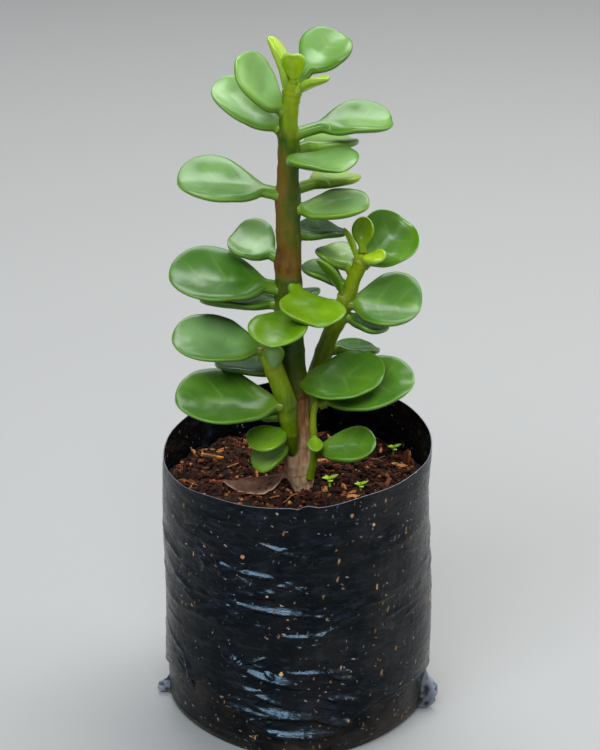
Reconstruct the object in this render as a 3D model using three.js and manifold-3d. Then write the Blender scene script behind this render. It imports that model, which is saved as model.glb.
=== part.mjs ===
// A young jade plant in a black film nursery bag.
//
// Millimetres, +Z up. The origin is the middle of the bag's flat base, +X is the plant's right
// and -Y its front. Angles are in degrees: a turn of 0 points along +X, 90 to the back, 270 to the front.

import * as THREE from "three";
import Module from "manifold-3d";
import { mergeVertices } from "three/addons/utils/BufferGeometryUtils.js";

const wasm = await Module();
wasm.setup();

// ---- driving dimensions -------------------------------------------------------------------------

const GAP = 0.3; // clearance kept between neighbouring solids

const BAG_RADIUS = 40.5; // a 127 mm wide flat tube of film, opened out
const BAG_HEIGHT = 86; // mean height of the open rim
const BAG_WALL = 0.8;
const BAG_SEGMENTS = 36;
const BAG_BULGE = 0.8; // the filled film bellies out by this half way up
const BAG_FOOT_SQUARENESS = 0.35; // how far the folded foot leaves the circle for a rounded diamond
const BAG_FOOT_HEIGHT = 30; // the outline is round again above this
const BAG_FOOT_PROFILE = [[0, 3], [0.9, 0.8], [3, 0]]; // height, and how far inside the wall
const BAG_WALL_HEIGHTS = [14, 24, 36, 48, 60, 70];
const RIM_SLOPE = 3.8; // the rim stands this much above the mean at RIM_TURN, and below it across
const RIM_TURN = 60;
const RIM_WAVE = 0.9; // the rim's front and back stand this much higher, its two sides lower
const EARS = [
  { turn: 178, reach: 4, height: 10, width: 1.6 },
  { turn: -12, reach: 4.2, height: 22, width: 1.8 },
];
const EAR_ROOT = 4; // how far an ear runs back into the film's ring
const EAR_SINK = 0.6; // how far inside the film's outer face its reach is counted from

const SOIL_LEVEL = 73.5;
const SOIL_RELIEF = 1.1;
const SOIL_RINGS = 7;
const CHIP_COUNT = 30;
const CHIP_LENGTH = [3, 7];
const CHIP_WIDTH = [1.5, 3.1];
const CHIP_HEIGHT = [2.2, 3.2];
const CHIP_REACH = 34; // no chip's middle is further out, or it would touch the film
const TRUNK_CLEARANCE = 5.5; // bare mix round the trunk
const STEM_FOOT = 62; // the stems end here, inside the mix

const STEM_SIDES = 10;
const STEM_RINGS_PER_SPAN = 2;
const STEM_TIP_SHARE = 0.6; // a stem's last ring, as a share of its radius
const LEAF_START = 0.5; // a leaf starts this far out from the stem's middle, as a share of its radius
const LEAF_SIDES = 8;
const LEAF_STALK_RINGS = 2;
const LEAF_BLADE_RINGS = 9;
const YOUNG_LEAF_BLADE_RINGS = 6;
const LEAF_THICKNESS = 3.2; // a jade leaf is a fat blade
const THICKNESS_SHARE_OF_WIDTH = 0.4; // a narrow leaf is no thicker than this
const LEAF_SECTION_POWER = 0.74; // below 1, the section is fuller than an ellipse, like a cushion
const LEAF_CUP = 0.05; // rise of the two margins, as a share of the leaf's width
const STALK_SHARE_OF_WIDTH = 0.2;
const YOUNG_STALK_SHARE = 0.33; // a new leaf is broader at its base for its width
const YOUNG_LEAF_WIDTH = 9; // leaves narrower than this are new and yellow-green
const STALK_ROUNDNESS = 1.1; // a thin stalk is about as thick as it is wide
const BASE_FLARE = 0.25; // the stalk widens by this share where it clasps the stem
const BASE_FLARE_LENGTH = 2.5; // over this length
const BLADE_BASE_POWER = 0.7; // how slowly the blade opens out of its stalk
const BLADE_TIP_POWER = 0.5; // 0.5 is a round tip
const BLADE_BLEND = 2.6; // how softly the stalk and the blade run together
const BLADE_OVERLAP = 0.75; // the blade begins at this share of the stalk

// ---- colours, roughness -------------------------------------------------------------------------

const COLOURS = {
  film: 0x101417,
  mix: 0x2b1e15,
  bark: 0x6a543e,
  greenStem: 0x4a6010,
  leaf: 0x4a7a24,
  youngLeaf: 0x6c950c,
  dryLeaf: 0x594939,
  twig: 0x8a5a2c,
  seedling: 0x7fa82a,
};

const material = (color, roughness) => new THREE.MeshStandardMaterial({ color, roughness, metalness: 0 });

// ---- the plant: stems, then leaves ---------------------------------------------------------------

// Each stem is a list of [x, y, z, radius] along its middle.
const STEMS = {
  main_stem: [
    [1.6, -5, STEM_FOOT, 2.2],
    [1.5, -5, 73, 3.1],
    [0.9, -5, 78, 3.9],
    [0.2, -5, 84, 4],
    [0, -5, 90, 3.6],
    [-0.4, -5, 102, 3.6],
    [-1.5, -5, 117, 3.7],
    [-2.2, -5, 130, 3.7],
    [-2.6, -5, 149, 3.5],
    [-2.7, -5, 164, 3.3],
    [-2.6, -5, 179, 2.9],
    [-2.2, -5, 190, 2.6],
    [-0.8, -5, 199.5, 2],
  ],
  left_shoot: [
    [-1.2, -7, 86, 1.8],
    [-2, -9.4, 92, 2.2],
    [-2.5, -10.8, 98, 2.6],
    [-3.6, -11.4, 105, 2.9],
    [-5.4, -11.5, 110.5, 2.9],
    [-8, -11.5, 118, 2.7],
    [-9.8, -11.5, 124, 2.1],
  ],
  right_branch: [
    [1, -3, 96, 2.2],
    [4.3, 2, 104, 2.5],
    [9, 2.5, 118, 2.5],
    [12.5, 1, 127, 2.6],
    [14.2, 0, 132, 2.6],
    [16.2, -1, 138, 2.1],
    [18, -2, 143, 2.1],
    [18.7, -2.5, 147, 1.5],
  ],
  right_sucker: [
    [3.6, -8.2, 78, 1.2],
    [4.7, -9.4, 84, 1.1],
    [4.9, -10, 90, 1],
    [4.6, -10, 96, 1],
    [4.9, -9.6, 101, 1],
    [6.8, -9.5, 105, 1],
  ],
};

// Each leaf: name, stem, height of its node on the stem, turn, rise at its base, rise at its tip,
// length, width, roll about its midrib, share of its length that is stalk.
const LEAVES = [
  ["main_leaf_01", "main_stem", 110, 155, 5, -2, 23, 20, 2, 0.2],
  ["main_leaf_02", "main_stem", 108, 333, 19, 3, 27, 23.5, 17, 0.05],
  ["main_leaf_03", "main_stem", 132, 176, 5, 0, 24.5, 17.5, 4, 0.2],
  ["main_leaf_04", "main_stem", 130.5, 259, 7, -16, 24, 17, 0, 0.15],
  ["main_leaf_05", "main_stem", 131, 90, 0, -15, 19, 18, 0, 0.2],
  ["main_leaf_06", "main_stem", 139.5, 296, -31, -12, 20.5, 20.5, -10, 0.25],
  ["main_leaf_07", "main_stem", 137, 186, 14, 3, 33.5, 23, -23, 0.2],
  ["main_leaf_08", "main_stem", 145, 154, 28, 11, 17.5, 16.5, -21, 0.3],
  ["main_leaf_09", "main_stem", 152.5, 40, 1, -8, 18, 15.5, 3, 0.18],
  ["main_leaf_10", "main_stem", 166.5, 42, 3, -4, 24, 14.5, 0, 0.45],
  ["main_leaf_11", "main_stem", 161.5, 348, 2, 8, 22, 20, 6, 0.12],
  ["main_leaf_12", "main_stem", 165.5, 187, 18, 0, 30.5, 21.5, -18, 0.25],
  ["main_leaf_13", "main_stem", 178.5, 34, 6, -8, 21, 16, 0, 0.3],
  ["main_leaf_14", "main_stem", 176.5, 312, 14, -8, 22, 21.5, 0, 0.15],
  ["main_leaf_15", "main_stem", 183, 9, 19, -9, 29, 17, 16, 0.36],
  ["main_leaf_16", "main_stem", 184, 165, 33, 29, 24, 16, -25, 0.12],
  ["main_leaf_17", "main_stem", 190, 187, 41, 58, 21, 17, -33, 0.1],
  ["main_leaf_18", "main_stem", 197.4, 36, 46, 27, 20.5, 17, 16, 0.34],
  ["main_leaf_19", "main_stem", 195.7, 316, 36, 16, 14, 6.5, 0, 0.3],
  ["main_leaf_20", "main_stem", 195.3, 162, 84, 55, 17, 7, 0, 0.12],
  ["main_leaf_21", "main_stem", 199, 267, 72, 52, 9.8, 6.8, 0, 0.2],
  ["left_leaf_01", "main_stem", 89, 212, 2, -62, 14.5, 12, -6, 0.15],
  ["left_leaf_02", "left_shoot", 93.5, 212, 4, -20, 12.5, 12.5, -9, 0.08],
  ["left_leaf_03", "left_shoot", 99, 162, 9, -20, 7, 9, 1, 0.2],
  ["left_leaf_04", "left_shoot", 103.5, 190, 7, 4, 31.5, 23, -20, 0.06],
  ["left_leaf_05", "left_shoot", 114.5, 268, 82, 64, 9, 6, 0, 0.2],
  ["left_leaf_06", "left_shoot", 121, 179, 5, 9, 26.5, 20.5, -20, 0.06],
  ["branch_leaf_01", "right_branch", 115, 19, -7, -4, 15.5, 17.5, -6, 0.2],
  ["branch_leaf_02", "right_branch", 126.5, 342, -11, -12, 14, 14, -1, 0.2],
  ["branch_leaf_03", "right_branch", 131, 345, 6, -7, 21.5, 21.5, 26, 0.08],
  ["branch_leaf_04", "right_branch", 135.5, 157, 34, 8, 15, 13.5, 4, 0.2],
  ["branch_leaf_05", "right_branch", 133.2, 228, 60, 42, 18.5, 4.9, 0, 0.2],
  ["branch_leaf_06", "right_branch", 140.5, 132, 34, 8, 13.5, 14.5, 2, 0.2],
  ["branch_leaf_07", "right_branch", 143.5, 32, 25, 43, 18.5, 18, 41, 0.1],
  ["branch_leaf_08", "right_branch", 144.6, 305, 40, -4, 10.5, 6.3, 24, 0.2],
  ["branch_leaf_09", "right_branch", 145, 198, 71, 62, 11, 4, 0, 0.2],
  ["branch_leaf_10", "right_branch", 147.5, 78, 82, 76, 10.5, 6.3, 0, 0.2],
  ["sucker_leaf_01", "right_sucker", 92.5, 275, -4, -35, 6.5, 4.5, 0, 0.2],
  ["sucker_leaf_02", "right_sucker", 88, 346, 12, 10, 18.5, 15.5, 19, 0.12],
  ["sucker_leaf_03", "right_sucker", 103.5, 354, 22, 10, 29, 23.5, 18, 0.1],
].map(([name, stem, height, turn, rise, tipRise, length, width, roll, stalk]) => ({
  name,
  stem,
  height,
  turn,
  rise,
  tipRise,
  length,
  width,
  roll,
  stalk,
}));

// ---- what lies on the mix ------------------------------------------------------------------------

// The dry leaf is bowed to the front, leans forward, and stands on its middle with both ends curled up.
const DRY_LEAF = { middle: [-13, -3.6], turn: 13, length: 19.5, width: 8, thickness: 1.2, height: 1.1 };
const DRY_LEAF_BEND = { bow: 5, lean: 0.28, curl: 0.5, endRises: [1.4, 3.4] };
const TWIG = { from: [-29.5, 16], to: [-23, 11], radius: 0.8 };
const WALL_CHIP = { at: [33.5, 12.5], size: [1.6, 3.4, 6], lean: 14 };
const SEEDLINGS = [
  { at: [9.5, -8.5], height: 4, spread: 3 },
  { at: [19, -9], height: 3.6, spread: 2.6 },
  { at: [30, 19], height: 3.4, spread: 2.6 },
];

// ---- helpers -------------------------------------------------------------------------------------

const radians = THREE.MathUtils.degToRad;
const clamp01 = (value) => THREE.MathUtils.clamp(value, 0, 1);
const headingOf = (turn) => new THREE.Vector3(Math.cos(radians(turn)), Math.sin(radians(turn)), 0);

// A seeded draw from 0 up to 1, the same on every run.
function seededDraw(seed) {
  let state = seed;
  return () => {
    state = (state * 16807) % 2147483647;
    return state / 2147483647;
  };
}

// A closed skin over rings of equal count, capped at both ends by a fan. `mirrored` splits the
// rings' second half the other way, so that both faces of a thin blade have the same triangles.
function loft(rings, mirrored = false) {
  const sides = rings[0].length;
  const positions = rings.flat().flatMap((p) => [p.x, p.y, p.z]);
  const index = [];
  for (let r = 0; r < rings.length - 1; r += 1) {
    for (let s = 0; s < sides; s += 1) {
      const a = r * sides + s;
      const b = r * sides + ((s + 1) % sides);
      const c = b + sides;
      const d = a + sides;
      if (mirrored && s >= sides / 2) index.push(a, b, d, b, c, d);
      else index.push(a, b, c, a, c, d);
    }
  }
  const cap = (ring, first, outward) => {
    const middle = ring.reduce((sum, p) => sum.add(p), new THREE.Vector3()).divideScalar(sides);
    const centre = positions.length / 3;
    positions.push(middle.x, middle.y, middle.z);
    for (let s = 0; s < sides; s += 1) {
      const next = first + ((s + 1) % sides);
      if (outward) index.push(centre, first + s, next);
      else index.push(centre, next, first + s);
    }
  };
  cap(rings[0], 0, false);
  cap(rings.at(-1), (rings.length - 1) * sides, true);
  const geometry = new THREE.BufferGeometry();
  geometry.setAttribute("position", new THREE.Float32BufferAttribute(positions, 3));
  geometry.setIndex(index);
  return geometry;
}

function toSolid(geometry) {
  const bare = geometry.clone();
  bare.deleteAttribute("normal");
  bare.deleteAttribute("uv");
  const merged = mergeVertices(bare, 1e-4);
  const mesh = new wasm.Mesh({
    numProp: 3,
    vertProperties: new Float32Array(merged.attributes.position.array),
    triVerts: new Uint32Array(merged.index.array),
  });
  mesh.merge();
  return new wasm.Manifold(mesh);
}

function toGeometry(solid) {
  const mesh = solid.getMesh();
  const geometry = new THREE.BufferGeometry();
  geometry.setAttribute("position", new THREE.Float32BufferAttribute(mesh.vertProperties, 3));
  geometry.setIndex(Array.from(mesh.triVerts));
  geometry.computeVertexNormals();
  return geometry;
}

function addMesh(name, geometry, surface) {
  const mesh = new THREE.Mesh(geometry, surface);
  mesh.name = name;
  group.add(mesh);
}

// ---- stems ---------------------------------------------------------------------------------------

function stemPath(points) {
  const places = points.map(([x, y, z]) => new THREE.Vector3(x, y, z));
  const curve = new THREE.CatmullRomCurve3(places, false, "catmullrom", 0.5);
  const spans = points.length - 1;
  const radiusAt = (t) => {
    const span = Math.min(Math.floor(t * spans), spans - 1);
    return THREE.MathUtils.lerp(points[span][3], points[span + 1][3], t * spans - span);
  };
  return { curve, radiusAt, spans };
}

// `grow` thickens and lengthens the stem, for cutting its clearance out of what it passes.
function stemSolid(points, grow = 0) {
  const { curve, radiusAt, spans } = stemPath(points);
  const count = spans * STEM_RINGS_PER_SPAN;
  const rings = [];
  for (let i = 0; i <= count; i += 1) {
    const t = i / count;
    const along = curve.getTangent(t);
    const middle = curve.getPoint(t);
    if (i === 0) middle.addScaledVector(along, -grow);
    if (i === count) middle.addScaledVector(along, grow);
    const side = new THREE.Vector3(0, 1, 0).cross(along).normalize();
    const front = along.clone().cross(side);
    const radius = (radiusAt(t) + grow) * (i === count ? STEM_TIP_SHARE : 1);
    const ring = [];
    for (let s = 0; s < STEM_SIDES; s += 1) {
      const angle = (2 * Math.PI * s) / STEM_SIDES;
      ring.push(
        middle
          .clone()
          .addScaledVector(side, radius * Math.cos(angle))
          .addScaledVector(front, radius * Math.sin(angle)),
      );
    }
    rings.push(ring);
  }
  return toSolid(loft(rings));
}

// Where a leaf starts: inside the stem, between its middle and its skin.
function leafStart(points, height, turn) {
  const { curve, radiusAt } = stemPath(points);
  let low = 0;
  let high = 1;
  for (let i = 0; i < 30; i += 1) {
    const t = (low + high) / 2;
    if (curve.getPoint(t).z < height) low = t;
    else high = t;
  }
  const out = LEAF_START * radiusAt(low);
  return curve.getPoint(low).addScaledVector(headingOf(turn), out);
}

// ---- leaves --------------------------------------------------------------------------------------

// Half width at share s of the length: a stalk that flares into a blade, widest at two thirds.
function halfWidth(s, width, stalk) {
  const start = BLADE_OVERLAP * stalk;
  const x = clamp01((s - start) / (1 - start));
  const opening = (share) => share ** BLADE_BASE_POWER * (1 - share) ** BLADE_TIP_POWER;
  const widest = BLADE_BASE_POWER / (BLADE_BASE_POWER + BLADE_TIP_POWER);
  const bladeHalf = (opening(x) / opening(widest)) * (width / 2);
  const stalkShare = width < YOUNG_LEAF_WIDTH ? YOUNG_STALK_SHARE : STALK_SHARE_OF_WIDTH;
  const stalkHalf = stalkShare * (width / 2) * (1 - x ** 3);
  return (bladeHalf ** BLADE_BLEND + stalkHalf ** BLADE_BLEND) ** (1 / BLADE_BLEND);
}

// The cosine or sine of a round section, pushed out towards a box's.
function rounded(value) {
  return Math.sign(value) * Math.abs(value) ** LEAF_SECTION_POWER;
}

function leafShares(stalk, bladeRings) {
  const shares = [];
  for (let i = 0; i < LEAF_STALK_RINGS; i += 1) shares.push((stalk * i) / LEAF_STALK_RINGS);
  for (let i = 0; i < bladeRings; i += 1) {
    shares.push(stalk + ((1 - stalk) * (1 - Math.cos((Math.PI * i) / bladeRings))) / 2);
  }
  return shares;
}

function leafSolid(base, { turn, rise, tipRise, length, width, roll, stalk }) {
  const heading = headingOf(turn);
  const left = new THREE.Vector3(-heading.y, heading.x, 0);
  const directionAt = (s) => {
    const pitch = radians(rise + (tipRise - rise) * s);
    return heading.clone().multiplyScalar(Math.cos(pitch)).setZ(Math.sin(pitch));
  };
  const placeAt = (s) => {
    const steps = 24;
    const place = base.clone();
    for (let i = 0; i < steps; i += 1) {
      place.addScaledVector(directionAt((s * (i + 0.5)) / steps), (s * length) / steps);
    }
    return place;
  };
  const halfThickness = Math.min(LEAF_THICKNESS, THICKNESS_SHARE_OF_WIDTH * width) / 2;
  const ringAt = (s) => {
    const along = directionAt(s);
    const across = left.clone().applyAxisAngle(along, radians(roll));
    const up = along.clone().cross(across);
    const middle = placeAt(s);
    const flare = 1 + BASE_FLARE * clamp01(1 - (s * length) / BASE_FLARE_LENGTH);
    const half = halfWidth(s, width, stalk) * flare;
    const x = clamp01((s - stalk) / (1 - stalk));
    const thick = Math.min(halfThickness * flare * Math.sqrt(1 - x ** 4), STALK_ROUNDNESS * half);
    const ring = [];
    for (let k = 0; k < LEAF_SIDES; k += 1) {
      const angle = (2 * Math.PI * k) / LEAF_SIDES;
      const u = rounded(Math.cos(angle));
      const lift = thick * rounded(Math.sin(angle)) + 2 * LEAF_CUP * half * u * u * clamp01(3 * x);
      ring.push(middle.clone().addScaledVector(across, half * u).addScaledVector(up, lift));
    }
    return ring;
  };
  const bladeRings = width < YOUNG_LEAF_WIDTH ? YOUNG_LEAF_BLADE_RINGS : LEAF_BLADE_RINGS;
  const shares = leafShares(stalk, bladeRings);
  shares.push(1 - 0.15 / length); // the last ring stays open, for the cap
  return toSolid(loft(shares.map(ringAt), true));
}

// ---- bag -----------------------------------------------------------------------------------------

// The bag's outline: round above, a rounded diamond at its folded foot, with slow dents.
function bagRadius(angle, z) {
  const foot = clamp01(1 - z / BAG_FOOT_HEIGHT) ** 2;
  const power = 2 - BAG_FOOT_SQUARENESS * foot;
  const diamond =
    (Math.abs(Math.cos(angle)) ** power + Math.abs(Math.sin(angle)) ** power) ** (-1 / power);
  const dents = 0.35 * Math.sin(3 * angle + z / 14) + 0.25 * Math.sin(5 * angle - z / 9);
  const fade = clamp01(z / 10) * clamp01((BAG_HEIGHT + 6 - z) / 10);
  const belly = BAG_BULGE * Math.sin(Math.PI * clamp01(z / BAG_HEIGHT));
  return BAG_RADIUS * diamond + belly + dents * fade;
}

// How far the rim stands above its mean height.
function rimLift(angle) {
  return RIM_SLOPE * Math.cos(angle - radians(RIM_TURN)) - RIM_WAVE * Math.cos(2 * angle);
}

function bagRing(z, inset) {
  const ring = [];
  for (let s = 0; s < BAG_SEGMENTS; s += 1) {
    const angle = (2 * Math.PI * s) / BAG_SEGMENTS;
    const radius = bagRadius(angle, z) - inset;
    ring.push(new THREE.Vector3(radius * Math.cos(angle), radius * Math.sin(angle), z));
  }
  return ring;
}

// The ring of the open rim, `above` it.
function rimRing(inset, above = 0) {
  return bagRing(BAG_HEIGHT, inset).map((p) => p.setZ(p.z + rimLift(Math.atan2(p.y, p.x)) + above));
}

// Corner of the folded foot that stands out from the wall like a small ear.
function earSolid({ turn, reach, height, width }) {
  const outline = new THREE.Shape();
  outline.moveTo(-EAR_ROOT, 0);
  outline.lineTo(reach, 0.6);
  outline.lineTo(reach - 0.4, height * 0.45);
  outline.lineTo(-1, height);
  outline.lineTo(-EAR_ROOT, height);
  const ear = new THREE.ExtrudeGeometry(outline, { depth: width, bevelEnabled: false, steps: 1 });
  ear.rotateX(Math.PI / 2);
  ear.translate(BAG_RADIUS - EAR_SINK, width / 2, 0);
  ear.rotateZ(radians(turn));
  return toSolid(ear);
}

// Rings from the foot up to the last of the wall heights, `inset` inside the film's outer face.
function bagRings(inset) {
  const foot = BAG_FOOT_PROFILE.map(([z, inside]) => bagRing(z + inset, inside + inset));
  return foot.concat(BAG_WALL_HEIGHTS.map((z) => bagRing(z, inset)));
}

function bagSolid() {
  const outside = [...bagRings(0), rimRing(0)];
  const inside = [...bagRings(BAG_WALL), rimRing(BAG_WALL), rimRing(BAG_WALL, 5)];
  let solid = toSolid(loft(outside));
  for (const ear of EARS) solid = solid.add(earSolid(ear));
  return solid.subtract(toSolid(loft(inside)));
}

// ---- potting mix ---------------------------------------------------------------------------------

// Height of the mix over (x, y): lumpy, heaped a little round the trunk, sunk a little at the wall.
function soilHeight(x, y) {
  const lumps =
    Math.sin(0.42 * x + 0.8) * Math.cos(0.37 * y) +
    0.6 * Math.sin(0.9 * x - 0.5 * y) +
    0.4 * Math.cos(1.3 * y + 0.6 * x);
  const heap = 1.2 * Math.exp(-((x - 1.5) ** 2 + (y + 5) ** 2) / 120);
  return SOIL_LEVEL + 0.5 * SOIL_RELIEF * lumps + heap;
}

function soilBody() {
  const inset = BAG_WALL + GAP;
  const rings = bagRings(inset);
  for (let r = 0; r < SOIL_RINGS; r += 1) {
    const share = 1 - r / SOIL_RINGS;
    const ring = bagRing(SOIL_LEVEL, inset);
    for (const p of ring) {
      p.x *= share;
      p.y *= share;
      p.z = soilHeight(p.x, p.y) - (r === 0 ? 1 : 0);
    }
    rings.push(ring);
  }
  return toSolid(loft(rings));
}

// Bark chips: flat, tilted blocks sunk well into the mix.
function addChips(soil) {
  const draw = seededDraw(1851);
  const between = ([low, high]) => THREE.MathUtils.lerp(low, high, draw());
  const [trunkX, trunkY] = STEMS.main_stem[1];
  let solid = soil;
  let placed = 0;
  while (placed < CHIP_COUNT) {
    const reach = CHIP_REACH * Math.sqrt(draw());
    const angle = 2 * Math.PI * draw();
    const x = reach * Math.cos(angle);
    const y = reach * Math.sin(angle);
    const chip = new THREE.BoxGeometry(between(CHIP_LENGTH), between(CHIP_WIDTH), between(CHIP_HEIGHT));
    chip.rotateX(between([-0.25, 0.25]));
    chip.rotateY(between([-0.3, 0.3]));
    chip.rotateZ(between([0, Math.PI]));
    chip.translate(x, y, soilHeight(x, y) - 0.3);
    if (Math.hypot(x - trunkX, y - trunkY) > TRUNK_CLEARANCE) {
      solid = solid.add(toSolid(chip));
      placed += 1;
    }
  }
  return solid;
}

// ---- things on the mix ---------------------------------------------------------------------------

// Each of these takes `grow`, the clearance by which its hole in the mix is larger than itself.
function dryLeafSolid(grow = 0) {
  const { middle, turn, height } = DRY_LEAF;
  const { bow, lean, curl, endRises } = DRY_LEAF_BEND;
  const length = DRY_LEAF.length + 2 * grow;
  const width = DRY_LEAF.width + 2 * grow;
  const thickness = DRY_LEAF.thickness + 2 * grow;
  const rows = 9;
  const rings = [];
  for (let i = 0; i <= rows; i += 1) {
    const along = (1 - Math.cos((Math.PI * (i + 0.35)) / (rows + 0.7))) / 2;
    const half = (width / 2) * Math.sin(Math.PI * along) ** 0.7;
    const out = 2 * along - 1;
    const rise = endRises[out < 0 ? 0 : 1] * out * out;
    const ring = [];
    for (let k = 0; k < LEAF_SIDES; k += 1) {
      const angle = (2 * Math.PI * k) / LEAF_SIDES;
      const across = half * Math.cos(angle);
      const lift = (curl * across * across) / width + lean * across + rise;
      const forward = bow * (1 - out * out);
      ring.push(
        new THREE.Vector3((out * length) / 2, across - forward, lift + (thickness / 2) * Math.sin(angle)),
      );
    }
    rings.push(ring);
  }
  const geometry = loft(rings, true);
  geometry.rotateZ(radians(turn));
  geometry.translate(middle[0], middle[1], SOIL_LEVEL + height);
  return toSolid(geometry);
}

function twigSolid(grow = 0) {
  const from = new THREE.Vector3(...TWIG.from, SOIL_LEVEL + 1.6);
  const to = new THREE.Vector3(...TWIG.to, SOIL_LEVEL + 2.6);
  const length = from.distanceTo(to) + 2 * grow;
  const radius = TWIG.radius + grow;
  const geometry = new THREE.CylinderGeometry(radius * 0.8, radius, length, 8);
  const turn = new THREE.Quaternion().setFromUnitVectors(
    new THREE.Vector3(0, 1, 0),
    to.clone().sub(from).normalize(),
  );
  geometry.applyQuaternion(turn);
  geometry.translate(...from.clone().add(to).multiplyScalar(0.5));
  return toSolid(geometry);
}

function wallChipSolid(grow = 0) {
  const { at, size, lean } = WALL_CHIP;
  const geometry = new THREE.BoxGeometry(...size.map((side) => side + 2 * grow));
  geometry.rotateY(radians(lean));
  geometry.rotateZ(Math.atan2(at[1], at[0]));
  geometry.translate(at[0], at[1], SOIL_LEVEL + size[2] / 2 - 1);
  return toSolid(geometry);
}

// A seedling: a thin stalk rooted in the mix, with two pairs of small leaves.
function seedlingSolid({ at, height, spread }, grow = 0) {
  const ground = soilHeight(...at);
  const foot = ground - 3 - grow;
  const top = ground + height + grow;
  const stalk = new THREE.CylinderGeometry(0.35 + grow, 0.45 + grow, top - foot, 6);
  stalk.rotateX(Math.PI / 2);
  stalk.translate(at[0], at[1], (top + foot) / 2);
  let solid = toSolid(stalk);
  for (let i = 0; i < 4; i += 1) {
    const leaf = new THREE.SphereGeometry(1, 6, 4);
    leaf.scale(spread / 2 + grow, spread / 3.4 + grow, 0.4 + grow);
    leaf.rotateY(-0.35);
    leaf.translate(spread / 2 - 0.2, 0, ground + height - 0.2 - (i % 2) * 0.9);
    leaf.rotateZ(i * 1.57 + 0.4);
    leaf.translate(at[0], at[1], 0);
    solid = solid.add(toSolid(leaf));
  }
  return solid;
}

// ---- assembly ------------------------------------------------------------------------------------

const group = new THREE.Group();
group.name = "potted_jade_plant";

const grown = Object.fromEntries(
  Object.entries(STEMS).map(([name, points]) => [name, stemSolid(points, GAP)]),
);
const mainStem = stemSolid(STEMS.main_stem);
const leftShoot = stemSolid(STEMS.left_shoot).subtract(grown.main_stem);
const rightBranch = stemSolid(STEMS.right_branch).subtract(grown.main_stem);
const rightSucker = stemSolid(STEMS.right_sucker).subtract(grown.main_stem);

addMesh("bag", toGeometry(bagSolid()), material(COLOURS.film, 0.35));
addMesh("main_stem", toGeometry(mainStem), material(COLOURS.bark, 0.7));
addMesh("left_shoot", toGeometry(leftShoot), material(COLOURS.greenStem, 0.45));
addMesh("right_branch", toGeometry(rightBranch), material(COLOURS.greenStem, 0.45));
addMesh("right_sucker", toGeometry(rightSucker), material(COLOURS.greenStem, 0.45));

for (const leaf of LEAVES) {
  const base = leafStart(STEMS[leaf.stem], leaf.height, leaf.turn);
  const solid = Object.values(grown).reduce((rest, stem) => rest.subtract(stem), leafSolid(base, leaf));
  const colour = leaf.width < YOUNG_LEAF_WIDTH ? COLOURS.youngLeaf : COLOURS.leaf;
  addMesh(leaf.name, toGeometry(solid), material(colour, 0.35));
}

const litter = [
  ["dry_leaf", dryLeafSolid, COLOURS.dryLeaf],
  ["twig", twigSolid, COLOURS.twig],
  ["wall_chip", wallChipSolid, COLOURS.bark],
];
SEEDLINGS.forEach((seedling, i) => {
  litter.push([`seedling_${i + 1}`, (grow) => seedlingSolid(seedling, grow), COLOURS.seedling]);
});

let soil = addChips(soilBody()).subtract(grown.main_stem);
for (const [name, build, colour] of litter) {
  soil = soil.subtract(build(GAP));
  addMesh(name, toGeometry(build(0)), material(colour, 0.8));
}
addMesh("soil", toGeometry(soil), material(COLOURS.mix, 0.95));

export default group;
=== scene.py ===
"""A young jade plant in a black film nursery bag: the looks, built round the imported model.

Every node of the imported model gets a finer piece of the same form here. Shapes are worked out in millimetres
and go into Blender in metres, +Z up, with +X the plant's right, -Y its front and the origin in the middle of
the bag's flat base. A turn of 0 degrees points along +X, 90 to the back, 270 to the front.
"""

import math
from collections import namedtuple

import bpy
import numpy as np
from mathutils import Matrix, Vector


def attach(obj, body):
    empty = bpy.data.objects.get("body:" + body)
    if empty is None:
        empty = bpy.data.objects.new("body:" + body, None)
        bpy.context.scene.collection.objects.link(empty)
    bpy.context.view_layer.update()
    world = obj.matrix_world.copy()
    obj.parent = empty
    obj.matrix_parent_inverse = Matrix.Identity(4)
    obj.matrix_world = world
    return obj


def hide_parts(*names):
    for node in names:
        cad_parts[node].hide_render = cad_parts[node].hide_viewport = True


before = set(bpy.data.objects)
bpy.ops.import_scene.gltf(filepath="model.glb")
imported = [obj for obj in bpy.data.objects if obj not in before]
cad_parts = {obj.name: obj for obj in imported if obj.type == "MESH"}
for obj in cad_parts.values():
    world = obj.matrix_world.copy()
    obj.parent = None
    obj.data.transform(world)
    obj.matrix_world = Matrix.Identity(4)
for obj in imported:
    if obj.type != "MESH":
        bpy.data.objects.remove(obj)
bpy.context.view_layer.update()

MM = 0.001  # one millimetre in Blender's metres
UP = np.array([0.0, 0.0, 1.0])

# ---- driving sizes, the same as in the part's source ------------------------------------------------

BAG_RADIUS = 40.5
BAG_HEIGHT = 86  # mean height of the open rim
BAG_BULGE = 0.8
BAG_FOOT_SQUARENESS = 0.35
BAG_FOOT_HEIGHT = 30
BAG_FOOT_PROFILE = [(0, 3), (0.9, 0.8), (3, 0)]  # height, and how far inside the wall
BAG_WALL_TOP = 70  # above this the wall runs straight up to the sloping rim
RIM_SLOPE = 3.8  # the rim stands this much above the mean at RIM_TURN, and below it across
RIM_TURN = 60
RIM_WAVE = 0.9
FILM = 0.3  # the film's thickness, drawn three times as thick as it is
SOIL_LEVEL = 73.5
SOIL_RELIEF = 1.1
TRUNK_PLACE = (1.5, -5)

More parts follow.
